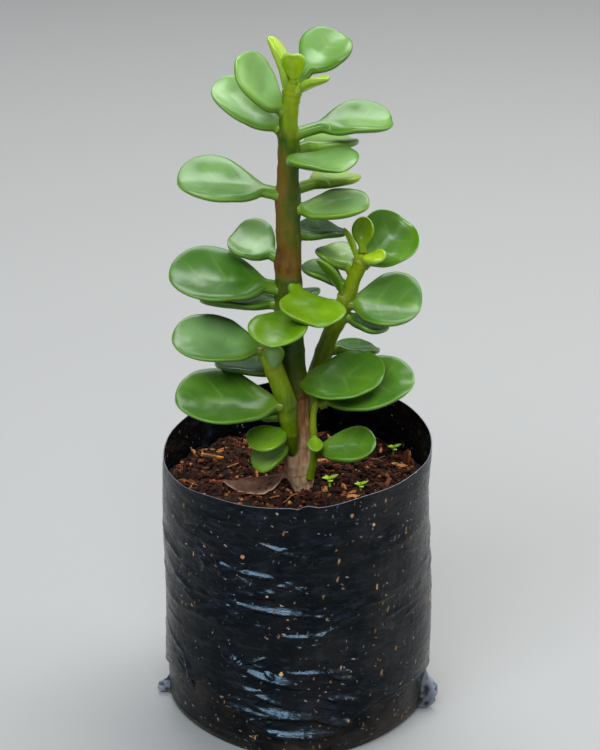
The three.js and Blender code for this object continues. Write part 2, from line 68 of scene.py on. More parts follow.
STEMS = {
    "main_stem": [
        (1.6, -5, 62, 2.2),
        (1.5, -5, 73, 3.1),
        (0.9, -5, 78, 3.9),
        (0.2, -5, 84, 4),
        (0, -5, 90, 3.6),
        (-0.4, -5, 102, 3.6),
        (-1.5, -5, 117, 3.7),
        (-2.2, -5, 130, 3.7),
        (-2.6, -5, 149, 3.5),
        (-2.7, -5, 164, 3.3),
        (-2.6, -5, 179, 2.9),
        (-2.2, -5, 190, 2.6),
        (-0.8, -5, 199.5, 2),
    ],
    "left_shoot": [
        (-1.2, -7, 86, 1.8),
        (-2, -9.4, 92, 2.2),
        (-2.5, -10.8, 98, 2.6),
        (-3.6, -11.4, 105, 2.9),
        (-5.4, -11.5, 110.5, 2.9),
        (-8, -11.5, 118, 2.7),
        (-9.8, -11.5, 124, 2.1),
    ],
    "right_branch": [
        (1, -3, 96, 2.2),
        (4.3, 2, 104, 2.5),
        (9, 2.5, 118, 2.5),
        (12.5, 1, 127, 2.6),
        (14.2, 0, 132, 2.6),
        (16.2, -1, 138, 2.1),
        (18, -2, 143, 2.1),
        (18.7, -2.5, 147, 1.5),
    ],
    "right_sucker": [
        (3.6, -8.2, 78, 1.2),
        (4.7, -9.4, 84, 1.1),
        (4.9, -10, 90, 1),
        (4.6, -10, 96, 1),
        (4.9, -9.6, 101, 1),
        (6.8, -9.5, 105, 1),
    ],
}

# A leaf's height on its stem, its turn, its rise at the foot and at the tip in degrees, its length and
# width, its roll to one side in degrees, and its stalk as a share of the length. Tone runs from 0, deep
# green, by 0.5, full green, to 1, new and yellow-green; its low end is also painted shade on leaves deep in
# the plant. Fold is how far the two halves of the blade rise from the midrib, and bowl how far the margin
# turns up, as shares of the half width. Bloom and sheen is how far a pale veil lies over the green: partly
# the wax's bloom, partly painted sheen.
Leaf = namedtuple("Leaf", "name stem height turn rise tip_rise length width roll stalk tone fold bloom bowl")
# Each group's rows run on from its first number, on one stem, and hold what follows a leaf's name and stem.
LEAF_ROWS = {
    ("main_leaf", 1, "main_stem"): [
        (110, 155, 5, -2, 23, 20, 2, 0.2, 0.1, 0.02, 0.05, 0),
        (108, 333, 19, 3, 27, 23.5, 17, 0.05, 0.45, 0.03, 0.05, 0),
        (132, 176, 5, 0, 24.5, 17.5, 4, 0.2, 0.3, 0.02, 0.2, 0),
        (130.5, 259, 7, -16, 24, 17, 0, 0.15, 0.66, 0.04, 0, 0.02),
        (131, 90, 0, -15, 19, 18, 0, 0.2, 0.1, 0.02, 0, 0),
        (139.5, 296, -31, -12, 20.5, 20.5, -10, 0.25, 0.72, 0.05, 0, 0.06),
        (137, 186, 14, 3, 33.5, 23, -23, 0.2, 0.33, 0.07, 0.05, 0.02),
        (145, 154, 28, 11, 17.5, 16.5, -21, 0.3, 0.4, 0.02, 0.45, 0.1),
        (152.5, 40, 1, -8, 18, 15.5, 3, 0.18, 0.05, 0.02, 0, 0),
        (166.5, 42, 3, -4, 24, 14.5, 0, 0.45, 0.85, 0.02, 0.6, 0),
        (161.5, 348, 2, 8, 22, 20, 6, 0.12, 0.65, 0.04, 0.7, 0.03),
        (165.5, 187, 18, 0, 30.5, 21.5, -18, 0.25, 0.4, 0.06, 0.25, 0.02),
        (178.5, 34, 6, -8, 21, 16, 0, 0.3, 0.7, 0.02, 0.45, 0),
        (176.5, 312, 14, -8, 22, 21.5, 0, 0.15, 0.5, 0.06, 0.35, 0.03),
        (183, 9, 19, -9, 29, 17, 16, 0.36, 0.45, 0.06, 0.25, 0.06),
        (184, 165, 33, 29, 24, 16, -25, 0.12, 0.5, 0.05, 0.55, 0.04),
        (190, 187, 41, 58, 21, 17, -33, 0.1, 0.62, 0.05, 0.7, 0.04),
        (197.4, 36, 46, 27, 20.5, 17, 16, 0.34, 0.5, 0.03, 0.25, 0.03),
        (195.7, 316, 36, 16, 14, 6.5, 0, 0.3, 0.88, 0.08, 0.05, 0),
        (195.3, 162, 84, 55, 17, 7, 0, 0.12, 0.95, 0.12, 0.05, 0),
        (199, 267, 72, 52, 9.8, 6.8, 0, 0.2, 0.85, 0.1, 0, 0.08),
    ],
    ("left_leaf", 1, "main_stem"): [
        (89, 212, 2, -62, 14.5, 12, -6, 0.15, 0.75, 0.04, 0.35, 0),
    ],
    ("left_leaf", 2, "left_shoot"): [
        (93.5, 212, 4, -20, 12.5, 12.5, -9, 0.08, 0.68, 0.04, 0.05, 0),
        (99, 162, 9, -20, 7, 9, 1, 0.2, 0.35, 0.03, 0.25, 0),
        (103.5, 190, 7, 4, 31.5, 23, -20, 0.06, 0.42, 0.08, 0.05, 0.02),
        (114.5, 268, 82, 64, 9, 6, 0, 0.2, 0.62, 0.14, 0.6, 0),
        (121, 179, 5, 9, 26.5, 20.5, -20, 0.06, 0.4, 0.07, 0.5, 0.02),
    ],
    ("branch_leaf", 1, "right_branch"): [
        (115, 19, -7, -4, 15.5, 17.5, -6, 0.2, 0.15, 0.02, 0.05, 0),
        (126.5, 342, -11, -12, 14, 14, -1, 0.2, 0.25, 0.02, 0.05, 0),
        (131, 345, 6, -7, 21.5, 21.5, 26, 0.08, 0.4, 0.12, 0.1, 0),
        (135.5, 157, 34, 8, 15, 13.5, 4, 0.2, 0.45, 0.03, 0.25, 0),
        (133.2, 228, 60, 42, 18.5, 4.9, 0, 0.2, 0.6, 0.08, 0.05, 0),
        (140.5, 132, 34, 8, 13.5, 14.5, 2, 0.2, 0.7, 0.03, 0.3, 0),
        (143.5, 32, 25, 43, 18.5, 18, 41, 0.1, 0.5, 0.1, 0.05, 0.26),
        (144.6, 305, 40, -4, 10.5, 6.3, 24, 0.2, 0.85, 0.06, 0.05, 0),
        (145, 198, 71, 62, 11, 4, 0, 0.2, 0.9, 0.08, 0.05, 0),
        (147.5, 78, 82, 76, 10.5, 6.3, 0, 0.2, 0.78, 0.08, 0, 0.04),
    ],
    ("sucker_leaf", 1, "right_sucker"): [
        (92.5, 275, -4, -35, 6.5, 4.5, 0, 0.2, 0.75, 0.04, 0.05, 0),
        (88, 346, 12, 10, 18.5, 15.5, 19, 0.12, 0.5, 0.04, 0.05, 0),
        (103.5, 354, 22, 10, 29, 23.5, 18, 0.1, 0.42, 0.03, 0.05, 0),
    ],
}
LEAVES = [
    Leaf(f"{group}_{number:02d}", stem, *row)
    for (group, first, stem), rows in LEAF_ROWS.items()
    for number, row in enumerate(rows, first)
]
YOUNG_LEAF_WIDTH = 9  # narrower leaves are young

LEAF_START = 0.5  # a leaf starts this far out from the stem's middle, as a share of its radius
LEAF_THICKNESS = 3.2
THICKNESS_SHARE_OF_WIDTH = 0.4
LEAF_SECTION_POWER = 0.74  # below 1, the section is fuller than an ellipse, like a cushion
LEAF_CUP = 0.05  # how far the two halves of every blade curve up, as a share of the width
STALK_SHARE_OF_WIDTH = 0.2
YOUNG_STALK_SHARE = 0.33  # the same on a young leaf
STALK_ROUNDNESS = 1.1  # a stalk is at most this many times as thick as wide
BASE_FLARE = 0.25  # the stalk is this much wider where it leaves the stem
BASE_FLARE_LENGTH = 2.5
BLADE_BASE_POWER = 0.7
BLADE_TIP_POWER = 0.5
BLADE_BLEND = 2.6
BLADE_OVERLAP = 0.75  # the blade's outline starts before the stalk ends

CHIP_COUNT = 30
CHIP_LENGTH = (3, 7)
CHIP_WIDTH = (1.5, 3.1)
CHIP_HEIGHT = (2.2, 3.2)
CHIP_REACH = 34
TRUNK_CLEARANCE = 5.5

EAR_ROOT = 3
EAR_SINK = 0.6
EARS = [
    {"name": "bag_fold_left", "turn": 178, "reach": 4, "height": 10},
    {"name": "bag_fold_right", "turn": -12, "reach": 4.2, "height": 22},
]
# The dry leaf is bowed to the front, leans forward, and stands on its middle with both ends curled up.
DRY_LEAF = {"middle": (-13, -3.6), "turn": 13, "length": 19.5, "width": 8, "thickness": 0.9, "height": 1.1}
DRY_LEAF_BEND = {"bow": 5, "lean": 0.28, "curl": 0.5, "end_rises": (1.4, 3.4)}
TWIG = {"start": (-29.5, 16), "end": (-23, 11), "radius": 0.7}
WALL_CHIP = {"at": (33.5, 12.5), "size": (1.6, 3.4, 6), "lean": 14}
SEEDLINGS = [
    {"at": (9.5, -8.5), "height": 4, "spread": 3},
    {"at": (19, -9), "height": 3.6, "spread": 2.6},
    {"at": (30, 19), "height": 3.4, "spread": 2.6},
]

# ---- numbers ----


def clamp01(value):
    """The value, kept within 0 and 1."""
    return np.clip(value, 0, 1)


def unit(vectors):
    """The vectors at length 1."""
    return vectors / np.linalg.norm(vectors, axis=-1, keepdims=True)


def heading_of(turn):
    """The level direction at a turn in degrees."""
    return np.array([math.cos(math.radians(turn)), math.sin(math.radians(turn)), 0.0])


def around(count):
    """Angles of evenly spaced places round a ring."""
    return np.linspace(0, 2 * np.pi, count, endpoint=False)


def places_at(x, y, z):
    """Places from coordinates whose shapes go together."""
    return np.stack(np.broadcast_arrays(x, y, z), axis=-1)


def noise(places, size, seed=0):
    """Smooth noise from -1 to 1 at places of shape (..., 3). `size` is the spacing of its lumps, in mm."""
    cell = np.asarray(places, float) / size
    corner = np.floor(cell).astype(np.int64)
    share = cell - corner
    share = share * share * (3 - 2 * share)
    total = np.zeros(cell.shape[:-1])
    for step in np.ndindex(2, 2, 2):
        at = corner + np.array(step)
        code = at[..., 0] * 73856093 ^ at[..., 1] * 19349663 ^ at[..., 2] * 83492791 ^ (seed + 7) * 2654435
        code = (code ^ (code >> 13)) * 1274126177
        value = ((code ^ (code >> 16)) & 0xFFFF) / 0x7FFF - 1
        weight = np.prod(np.where(np.array(step) == 1, share, 1 - share), axis=-1)
        total += value * weight
    return total


def creases(places, size, seed=0):
    """Sharp ridges between smooth hollows, from 0 up to 1, as in crumpled film or furrowed bark."""
    return 1 - np.abs(noise(places, size, seed))


def bump(distance, width):
    """A soft hump of height 1 at distance 0."""
    return np.exp(-((distance / width) ** 2))


# ---- meshes ----


def strip_faces(rows, columns, closed=True):
    """Quads over a grid of rows by columns. A closed grid joins its last column to its first."""
    spans = columns if closed else columns - 1
    row, column = np.meshgrid(np.arange(rows - 1), np.arange(spans), indexing="ij")
    after = (column + 1) % columns
    corners = [row * columns + column, row * columns + after, (row + 1) * columns + after]
    corners.append((row + 1) * columns + column)
    return np.stack(corners, axis=-1).reshape(-1, 4).tolist()


def loft(rings):
    """Points and faces of a closed skin over rings of equal count, with a fan at both ends."""
    rows, columns = rings.shape[:2]
    points = np.concatenate([rings.reshape(-1, 3), rings[[0, -1]].mean(axis=1)])
    faces = strip_faces(rows, columns)
    for column in range(columns):
        after = (column + 1) % columns
        faces.append([rows * columns, after, column])
        last = (rows - 1) * columns
        faces.append([rows * columns + 1, last + column, last + after])
    return points, faces


def capped(values, first=0, last=0):
    """Numbers kept on a loft's rings, and on the middles of its two ends."""
    return np.concatenate([np.ravel(values), [first, last]])


def add_piece(name, points, faces, material, slot, node=None, smooth=True, **marks):
    """A mesh piece in the row frame, which rides on the one body. `marks` are numbers kept on its points."""
    mesh = bpy.data.meshes.new(name)
    mesh.from_pydata((np.asarray(points) * MM).tolist(), [], faces)
    mesh.validate()
    for mark, values in marks.items():
        mesh.attributes.new(mark, "FLOAT", "POINT").data.foreach_set("value", np.asarray(values, np.float32))
    if smooth:
        mesh.shade_smooth()
    else:
        mesh.shade_flat()
    mesh.materials.append(material)
    piece = bpy.data.objects.new(name, mesh)
    bpy.context.collection.objects.link(piece)
    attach(piece, "root")
    if node:
        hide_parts(node)


def add_parts(name, parts, material, slot, **options):
    """One piece of many parts, each a set of points and faces and the tone of all of them."""
    points, faces, tones = [], [], []
    count = 0
    for part_points, part_faces, tone in parts:
        points.append(part_points)
        faces.extend([[corner + count for corner in face] for face in part_faces])
        tones.append(np.full(len(part_points), tone))
        count += len(part_points)
    add_piece(name, np.concatenate(points), faces, material, slot, tone=np.concatenate(tones), **options)


# ---- materials ----


def linear(hex_colour):
    """A linear RGBA colour from an sRGB hex value."""
    channels = [int(hex_colour[i : i + 2], 16) / 255 for i in (1, 3, 5)]
    return [c / 12.92 if c <= 0.04045 else ((c + 0.055) / 1.055) ** 2.4 for c in channels] + [1.0]


def feed(tree, node, inputs):
    """Sets or links a node's inputs: to values, outputs, or nodes, which stand for their first output."""
    for key, value in inputs.items():
        if isinstance(value, bpy.types.Node):
            value = value.outputs[0]
        if isinstance(value, bpy.types.NodeSocket):
            tree.links.new(value, node.inputs[key])
        else:
            node.inputs[key].default_value = value


def add(tree, kind, inputs=None, stops=None, **settings):
    """Adds a node with its settings and inputs. `stops` are the colours of a ramp."""
    node = tree.nodes.new(kind)
    for key, value in settings.items():
        setattr(node, key, value)
    feed(tree, node, inputs or {})
    if stops:
        ramp = node.color_ramp.elements
        while len(ramp) < len(stops):
            ramp.new(0.5)
        for element, (position, colour) in zip(ramp, stops):
            element.position = position
            element.color = linear(colour) if isinstance(colour, str) else [colour] * 3 + [1.0]
    return node


def new_material(name, finish, marks=()):
    """A material whose uniform finish is on the Principled shader's own sockets. Also gives its node tree,
    that shader, the place on the object, and the numbers kept on the mesh's points by the names `marks`."""
    material = bpy.data.materials.new(name)
    material.use_nodes = True
    tree = material.node_tree
    shader = tree.nodes["Principled BSDF"]
    feed(tree, shader, finish)
    place = add(tree, "ShaderNodeTexCoord").outputs["Object"]
    kept = [add(tree, "ShaderNodeAttribute", attribute_name=mark).outputs["Fac"] for mark in marks]
    return material, tree, shader, place, kept


def per_mm(size):
    """A texture's scale, in lumps per metre, from the size of a lump in millimetres."""
    return 1 / (size * MM)


A, B, RESULT = 6, 7, 2  # the colour sockets of a Mix node


def leaf_material():
    """Jade leaf: fat green flesh under a smooth, waxy skin. The wax gives a broad pale sheen, partly by
    reflection and partly painted as a pale veil, and the flesh lets a little light through. A fine pale line
    on the margin is a painted highlight, and the under face is painted darker as shade."""
    finish = {"IOR": 1.42, "Specular IOR Level": 0.15, "Coat Weight": 0.56, "Coat Roughness": 0.25}
    flesh = {"Subsurface Weight": 0.2, "Subsurface Radius": (0.5, 1.0, 0.15), "Subsurface Scale": 1.4 * MM}
    marks = ("tone", "bloom", "margin", "along", "upper", "midrib")
    material, tree, shader, place, kept = new_material("waxy_jade_leaf", finish | flesh, marks)
    tone, bloom, margin, along, upper, midrib = kept
    blotch = add(tree, "ShaderNodeTexNoise", {"Vector": place, "Scale": per_mm(8), "Detail": 3.0})
    toned = add(tree, "ShaderNodeMath", {0: blotch, 1: 0.44, 2: -0.22}, operation="MULTIPLY_ADD")
    toned = add(tree, "ShaderNodeMath", {0: toned, 1: tone}, operation="ADD")
    # The darkest greens also serve as painted shade on leaves deep in the plant.
    greens = [(0, "#1b4008"), (0.35, "#356006"), (0.55, "#4d7606"), (0.75, "#6e9404"), (1, "#b0c408")]
    colour = add(tree, "ShaderNodeValToRGB", {"Fac": toned}, greens).outputs["Color"]
    # Water pores: pale dots, 0.3 mm across and about 1.5 mm apart.
    pores = add(tree, "ShaderNodeTexVoronoi", {"Vector": place, "Scale": per_mm(1.5)})
    # A few leaves carry a corky fleck a millimetre across, in one cell in nine of 12 mm.
    cells = add(tree, "ShaderNodeTexVoronoi", {"Vector": place, "Scale": per_mm(12)})
    chance = add(tree, "ShaderNodeSeparateColor", {"Color": cells.outputs["Color"]})
    chosen = add(tree, "ShaderNodeMath", {0: chance, 1: 0.89}, operation="GREATER_THAN")
    # On the flesh lie a grey-green veil, partly the wax's bloom and partly painted sheen, and the paler veins.
    # The layers after them fade out between two values, from a greatest share: the clearer green of the rolled
    # margin, a pale line on it that is a painted highlight, the under face darkened as painted shade, the
    # yellow stalk, its red-brown foot, the pores, and the flecks.
    layers = [(bloom, "#94ba7a"), (midrib, "#86ac50")]
    for value, start, end, most, only, over in (
        (margin, 0.2, 1.4, 0.35, None, "#4e8204"),
        (margin, 0.1, 0.32, 0.3, upper, "#a4bc60"),
        (upper, 0.0, 0.6, 0.3, None, "#30500c"),
        (along, 0.08, 0.3, 0.4, None, "#6d8a10"),
        (along, 0.01, 0.07, 0.4, None, "#744a14"),
        (pores, 0.06, 0.13, 0.14, None, "#b4c890"),
        (cells, 0.03, 0.06, 0.8, chosen, "#8d7a3a"),
    ):
        share = add(tree, "ShaderNodeMapRange", {"Value": value, 1: start, 2: end, 3: most, 4: 0.0})
        if only is not None:
            share = add(tree, "ShaderNodeMath", {0: share, 1: only}, operation="MULTIPLY")
        layers.append((share, over))
    for share, over in layers:
        mixed = add(tree, "ShaderNodeMix", {0: share, A: colour, B: linear(over)}, data_type="RGBA")
        colour = mixed.outputs[RESULT]
    wax = add(tree, "ShaderNodeTexNoise", {"Vector": place, "Scale": per_mm(3.2), "Detail": 4.0})
    gloss = add(tree, "ShaderNodeMapRange", {"Value": wax, 1: 0.3, 2: 0.7, 3: 0.34, 4: 0.5})
    skin = add(tree, "ShaderNodeTexNoise", {"Vector": place, "Scale": per_mm(0.6), "Detail": 3.0})
    grain = add(tree, "ShaderNodeBump", {"Strength": 0.1, "Distance": 0.1 * MM, "Height": skin})
    feed(tree, shader, {"Base Color": colour, "Roughness": gloss, "Normal": grain})
    return material


def stem_material():
    """Jade stem: green and waxy while young, brown and corky when older, grey-brown bark at its foot, and
    a dark green that is painted shade where the main stem stands under its leaves.
    """
    finish = {"IOR": 1.45, "Specular IOR Level": 0.3}
    flesh = {"Subsurface Weight": 0.1, "Subsurface Radius": (0.5, 1.0, 0.15), "Subsurface Scale": 1.0 * MM}
    material, tree, shader, place, kept = new_material("jade_stem", finish | flesh, ("age", "scar"))
    age, scar = kept
    # Streaks run up the stem: the noise is drawn out to about five times its size along Z.
    drawn = add(tree, "ShaderNodeMapping", {"Vector": place, "Scale": (1.0, 1.0, 0.22)})
    streaks = {"Vector": drawn, "Scale": per_mm(1.6), "Detail": 5.0, "Roughness": 0.6}
    streak = add(tree, "ShaderNodeTexNoise", streaks)
    aged = add(tree, "ShaderNodeMath", {0: streak, 1: 0.42, 2: -0.21}, operation="MULTIPLY_ADD")
    aged = add(tree, "ShaderNodeMath", {0: aged, 1: age}, operation="ADD")
    # New green, dark green, which on the main stem is painted shade under the leaves, the brown of the first
    # bark, and the pale grey-brown of old bark.
    stem_and_shade_colours = [(0, "#8c9c10"), (0.2, "#6e8408"), (0.42, "#264804"), (0.54, "#4c5204")]
    stem_and_shade_colours += [(0.66, "#6a4c0c"), (0.76, "#502f09"), (0.86, "#94673a"), (1, "#c8a684")]
    colour = add(tree, "ShaderNodeValToRGB", {"Fac": aged}, stem_and_shade_colours).outputs["Color"]
    scarred = add(tree, "ShaderNodeMix", {0: scar, A: colour, B: linear("#6b4a26")}, data_type="RGBA")
    gloss = add(tree, "ShaderNodeMapRange", {"Value": age, 1: 0.4, 2: 0.9, 3: 0.36, 4: 0.85})
    cracks = {"Vector": drawn, "Scale": per_mm(0.5), "Detail": 5.0, "Roughness": 0.65}
    fine = add(tree, "ShaderNodeTexNoise", cracks)
    depth = add(tree, "ShaderNodeMapRange", {"Value": age, 1: 0.3, 2: 0.9, 3: 0.15, 4: 0.8})
    grain = add(tree, "ShaderNodeBump", {"Strength": depth, "Distance": 0.35 * MM, "Height": fine})
    feed(tree, shader, {"Base Color": scarred.outputs[RESULT], "Roughness": gloss, "Normal": grain})
    return material


def film_material():
    """Black low-density polythene film, blown thin: near black with a greasy gloss that rubbing has hazed,
    fine scratches, and dry splashes of soil in tan, orange and white. Painted on it are a sky blue in its
    reflections, a brown-grey reflection on its two sides, and a pale highlight on the rim's edge."""
    # The specular tint is a painted sky blue in every reflection on the film.
    finish = {"IOR": 1.51, "Specular Tint": linear("#a8cce2")}  # the tint gives the film's blue-black cast
    marks = ("rim", "dusty", "crest")
    material, tree, shader, place, kept = new_material("black_polythene_film", finish, marks)
    rim, dusty, crest = kept
    # Handling rubs the crests of the folds bright, and leaves the film under the foot's flap dull.
    shine = add(tree, "ShaderNodeMapRange", {"Value": crest, 1: -0.35, 2: 1.0, 3: 0.0, 4: 0.6})
    # A brown-grey veil in clouds: dust, and on the bag's two sides also a painted reflection of brown ground.
    cloud = add(tree, "ShaderNodeTexNoise", {"Vector": place, "Scale": per_mm(12), "Detail": 6.0})
    veil = add(tree, "ShaderNodeMapRange", {"Value": cloud, 1: 0.4, 2: 0.8, 3: 0.06, 4: 0.5})
    veil = add(tree, "ShaderNodeMath", {0: veil, 1: dusty}, operation="MULTIPLY")
    # Rubbing hazes the film in streaks drawn out level round the bag.
    drawn = add(tree, "ShaderNodeMapping", {"Vector": place, "Scale": (0.35, 0.35, 1.0)})
    rubbing = {"Vector": drawn, "Scale": per_mm(1.8), "Detail": 6.0, "Roughness": 0.65}
    scuff = add(tree, "ShaderNodeTexNoise", rubbing)
    haze = add(tree, "ShaderNodeMapRange", {"Value": scuff, 1: 0.5, 2: 0.75, 3: 0.0, 4: 0.4})
    layers = [(veil, linear("#453d36")), (haze, linear("#343c46"))]
    gloss = add(tree, "ShaderNodeMapRange", {"Value": scuff, 1: 0.35, 2: 0.72, 3: 0.16, 4: 0.4})
    # Splashes, grit and scratches: spacing, radius as a share of it, how many times longer each is along X,
    # Y and Z, its tilt in radians, the share of cells left bare, and the two colours it lies between.
    warp = add(tree, "ShaderNodeTexNoise", {"Vector": place, "Scale": per_mm(0.7), "Detail": 3.0})
    for spacing, radius, stretch, tilt, bare, low, high in (
        (1.5, 0.2, (1.0, 1.0, 1.7), 0.4, 0.66, "#26282c", "#8a8682"),
        (2.6, 0.17, (1.7, 1.0, 0.7), 0.4, 0.66, "#4d4640", "#b8ac9c"),
        (3.7, 0.15, (0.7, 1.0, 2.0), 0.2, 0.6, "#6a4a30", "#c09468"),
        (6.5, 0.1, (1.0, 1.0, 1.2), 0.4, 0.45, "#9a5a22", "#e6c08c"),
        (2.4, 0.07, (0.8, 0.8, 8.0), 0.6, 0.5, "#22272d", "#626a74"),
        (2.9, 0.06, (0.8, 0.8, 7.0), -0.6, 0.6, "#22272d", "#626a74"),
    ):
        drawn_out = {"Vector": place, "Scale": stretch, "Rotation": (0.0, tilt, 0.0)}
        squeezed = add(tree, "ShaderNodeMapping", drawn_out, vector_type="TEXTURE")
        # The specks' edges are ragged: each place is shifted by up to about a millimetre.
        ragged = {0: 1.1 * MM, A: squeezed, B: warp.outputs["Color"]}
        bent = add(tree, "ShaderNodeMix", ragged, data_type="RGBA").outputs[RESULT]
        cells = add(tree, "ShaderNodeTexVoronoi", {"Vector": bent, "Scale": per_mm(spacing)})
        chance = add(tree, "ShaderNodeSeparateColor", {"Color": cells.outputs["Color"]})
        # Fewer cells stay bare where the film is dustier, and the specks lie in drifts.
        wanted = add(tree, "ShaderNodeMath", {0: dusty, 1: -0.22, 2: bare + 0.42}, operation="MULTIPLY_ADD")
        drifts = {0: cloud, 1: -0.6, 2: wanted}
        wanted = add(tree, "ShaderNodeMath", drifts, operation="MULTIPLY_ADD")
        chosen = add(tree, "ShaderNodeMath", {0: chance, 1: wanted}, operation="GREATER_THAN")
        edge = {"Value": cells, 1: 0.6 * radius, 2: radius, 3: 0.85, 4: 0.0}
        spot = add(tree, "ShaderNodeMapRange", edge)
        spot = add(tree, "ShaderNodeMath", {0: spot, 1: chosen}, operation="MULTIPLY")
        hues = {0: chance.outputs[1], A: linear(low), B: linear(high)}
        layers.append((spot, add(tree, "ShaderNodeMix", hues, data_type="RGBA").outputs[RESULT]))
        gloss = add(tree, "ShaderNodeMath", {0: gloss, 1: spot}, operation="ADD")
    # A pale grey painted highlight: on the rolled edge of the rim and on the ears' raised folds.
    layers.append((rim, linear("#868b92")))
    colour = linear("#030508")
    for share, over in layers:
        mixed = add(tree, "ShaderNodeMix", {0: share, A: colour, B: over}, data_type="RGBA")
        colour = mixed.outputs[RESULT]
    creased = {"Vector": drawn, "Scale": per_mm(2.4), "Detail": 5.0, "Roughness": 0.6}
    crinkle = add(tree, "ShaderNodeTexNoise", creased)
    grain = add(tree, "ShaderNodeBump", {"Strength": 0.6, "Distance": 0.5 * MM, "Height": crinkle})
    feed(tree, shader, {"Base Color": colour, "Roughness": gloss, "Normal": grain})
    feed(tree, shader, {"Specular IOR Level": shine})
    return material


# Dry, matt plant and earth surfaces: the grain's size and depth in mm, the roughness, and colours by tone.
LITTER = {
    # Coir and composted bark: damp, dark brown crumbs.
    "coir_and_bark_mix": (
        (1.1, 0.5, 0.95),
        [(0, "#0d0805"), (0.35, "#1d130c"), (0.6, "#33231a"), (0.85, "#4c3627"), (1, "#6b4c35")],
    ),
    # Broken pine bark and coconut husk, from almost black to orange-tan on a fresh break.
    "broken_bark": (
        (0.8, 0.3, 0.85),
        [(0, "#120905"), (0.3, "#351b10"), (0.55, "#63351d"), (0.75, "#8f5530"), (1, "#c88a50")],
    ),
    # A fallen leaf dried to paper: grey-brown, up to a pale grey-brown for the painted highlight on its front
    # edge.
    "dried_leaf": (
        (1.5, 0.25, 0.75),
        [(0, "#24150d"), (0.4, "#4c3124"), (0.7, "#76543f"), (1, "#b49a84")],
    ),
    # A snapped twig: brown skin and an orange, fresh break.
    "snapped_twig": (
        (0.9, 0.2, 0.8),
        [(0, "#5a3a20"), (0.4, "#8d6238"), (0.7, "#b98a52"), (1, "#d98c1e")],
    ),
    # Weed seedlings a few days old: thin, bright yellow-green seed leaves.
    "new_seedling": ((0.7, 0.05, 0.45), [(0, "#4f7a10"), (0.5, "#86b01e"), (1, "#b9d44a")]),
}


def litter_material(name):
    """A surface of LITTER: its tone and a noise of the grain's size pick the colour."""
    (size, depth, roughness), stops = LITTER[name]
    finish = {"IOR": 1.4, "Roughness": roughness, "Specular IOR Level": 0.2}
    material, tree, shader, place, (tone,) = new_material(name, finish, ("tone",))
    lumps = {"Vector": place, "Scale": per_mm(size), "Detail": 6.0, "Roughness": 0.65}
    grain = add(tree, "ShaderNodeTexNoise", lumps)
    varied = add(tree, "ShaderNodeMath", {0: grain, 1: 0.5, 2: -0.25}, operation="MULTIPLY_ADD")
    varied = add(tree, "ShaderNodeMath", {0: varied, 1: tone}, operation="ADD")
    colour = add(tree, "ShaderNodeValToRGB", {"Fac": varied}, stops)
    rough = add(tree, "ShaderNodeBump", {"Strength": 0.7, "Distance": depth * MM, "Height": grain})
    feed(tree, shader, {"Base Color": colour.outputs["Color"], "Normal": rough})
    return material


def floor_material():
    """The studio's floor: plain, pale and matt."""
    return new_material("pale_floor", {"Roughness": 0.9, "Base Color": linear("#989793")})[0]


# ---- stems ----


def stem_at(points, shares):
    """Places, directions and radii at shares from 0 to 1 of a smooth curve through the stem's points."""
    knots = np.array(points, float)
    knots = np.concatenate([[2 * knots[0] - knots[1]], knots, [2 * knots[-1] - knots[-2]]])
    spans = len(points) - 1
    span = np.minimum((shares * spans).astype(int), spans - 1)
    t = (shares * spans - span)[:, None]
    a, b, c, d = (knots[span + i, :3] for i in range(4))
    square, cube = 2 * a - 5 * b + 4 * c - d, 3 * b - a - 3 * c + d
    places = 0.5 * (2 * b + (c - a) * t + square * t**2 + cube * t**3)
    slopes = 0.5 * ((c - a) + 2 * square * t + 3 * cube * t**2)
    radii = knots[span + 1, 3] * (1 - t[:, 0]) + knots[span + 2, 3] * t[:, 0]
    return places, unit(slopes), radii


def stem_share(points, height):
    """The share of a stem's curve at which it passes a height."""
    shares = np.linspace(0, 1, 2001)
    heights = stem_at(points, shares)[0][:, 2]
    return shares[np.argmin(np.abs(heights - height))]


# Age and painted shade by height: from 0, new green, through 0.45, dark green, to 1, old grey-brown bark.
# On the main stem, the dark green from 106 to 140 mm is painted shade under the leaves.
STEM_AGE_AND_SHADE = {
    "main_stem": (
        [62, 80, 86, 92, 97, 103, 106, 116, 118, 140, 143, 149, 153, 178, 186, 200],
        [0.97, 0.97, 0.94, 0.88, 0.86, 0.82, 0.5, 0.46, 0.42, 0.4, 0.7, 0.7, 0.58, 0.52, 0.22, 0.04],
    ),
    "left_shoot": ([86, 94, 104, 113, 123], [0.34, 0.28, 0.3, 0.16, 0.1]),
    "right_branch": ([96, 110, 130, 147], [0.34, 0.22, 0.2, 0.06]),
    "right_sucker": ([83, 105], [0.22, 0.12]),
}
SIDE_AGE = 0.13  # in its upper half the main stem is younger and greener on its right
SIDE_AGE_START = 140
STEM_SIDES = 56
STEM_RING_SPACING = 0.4
SCAR_RISE = 0.3  # how far the ring left by a fallen or growing pair of leaves stands out
BARE_SCAR_SPACING = 9.5
BARE_SCAR_ENDS = (7.5, 6)  # no bare ring is nearer than this to the stem's lower and upper end


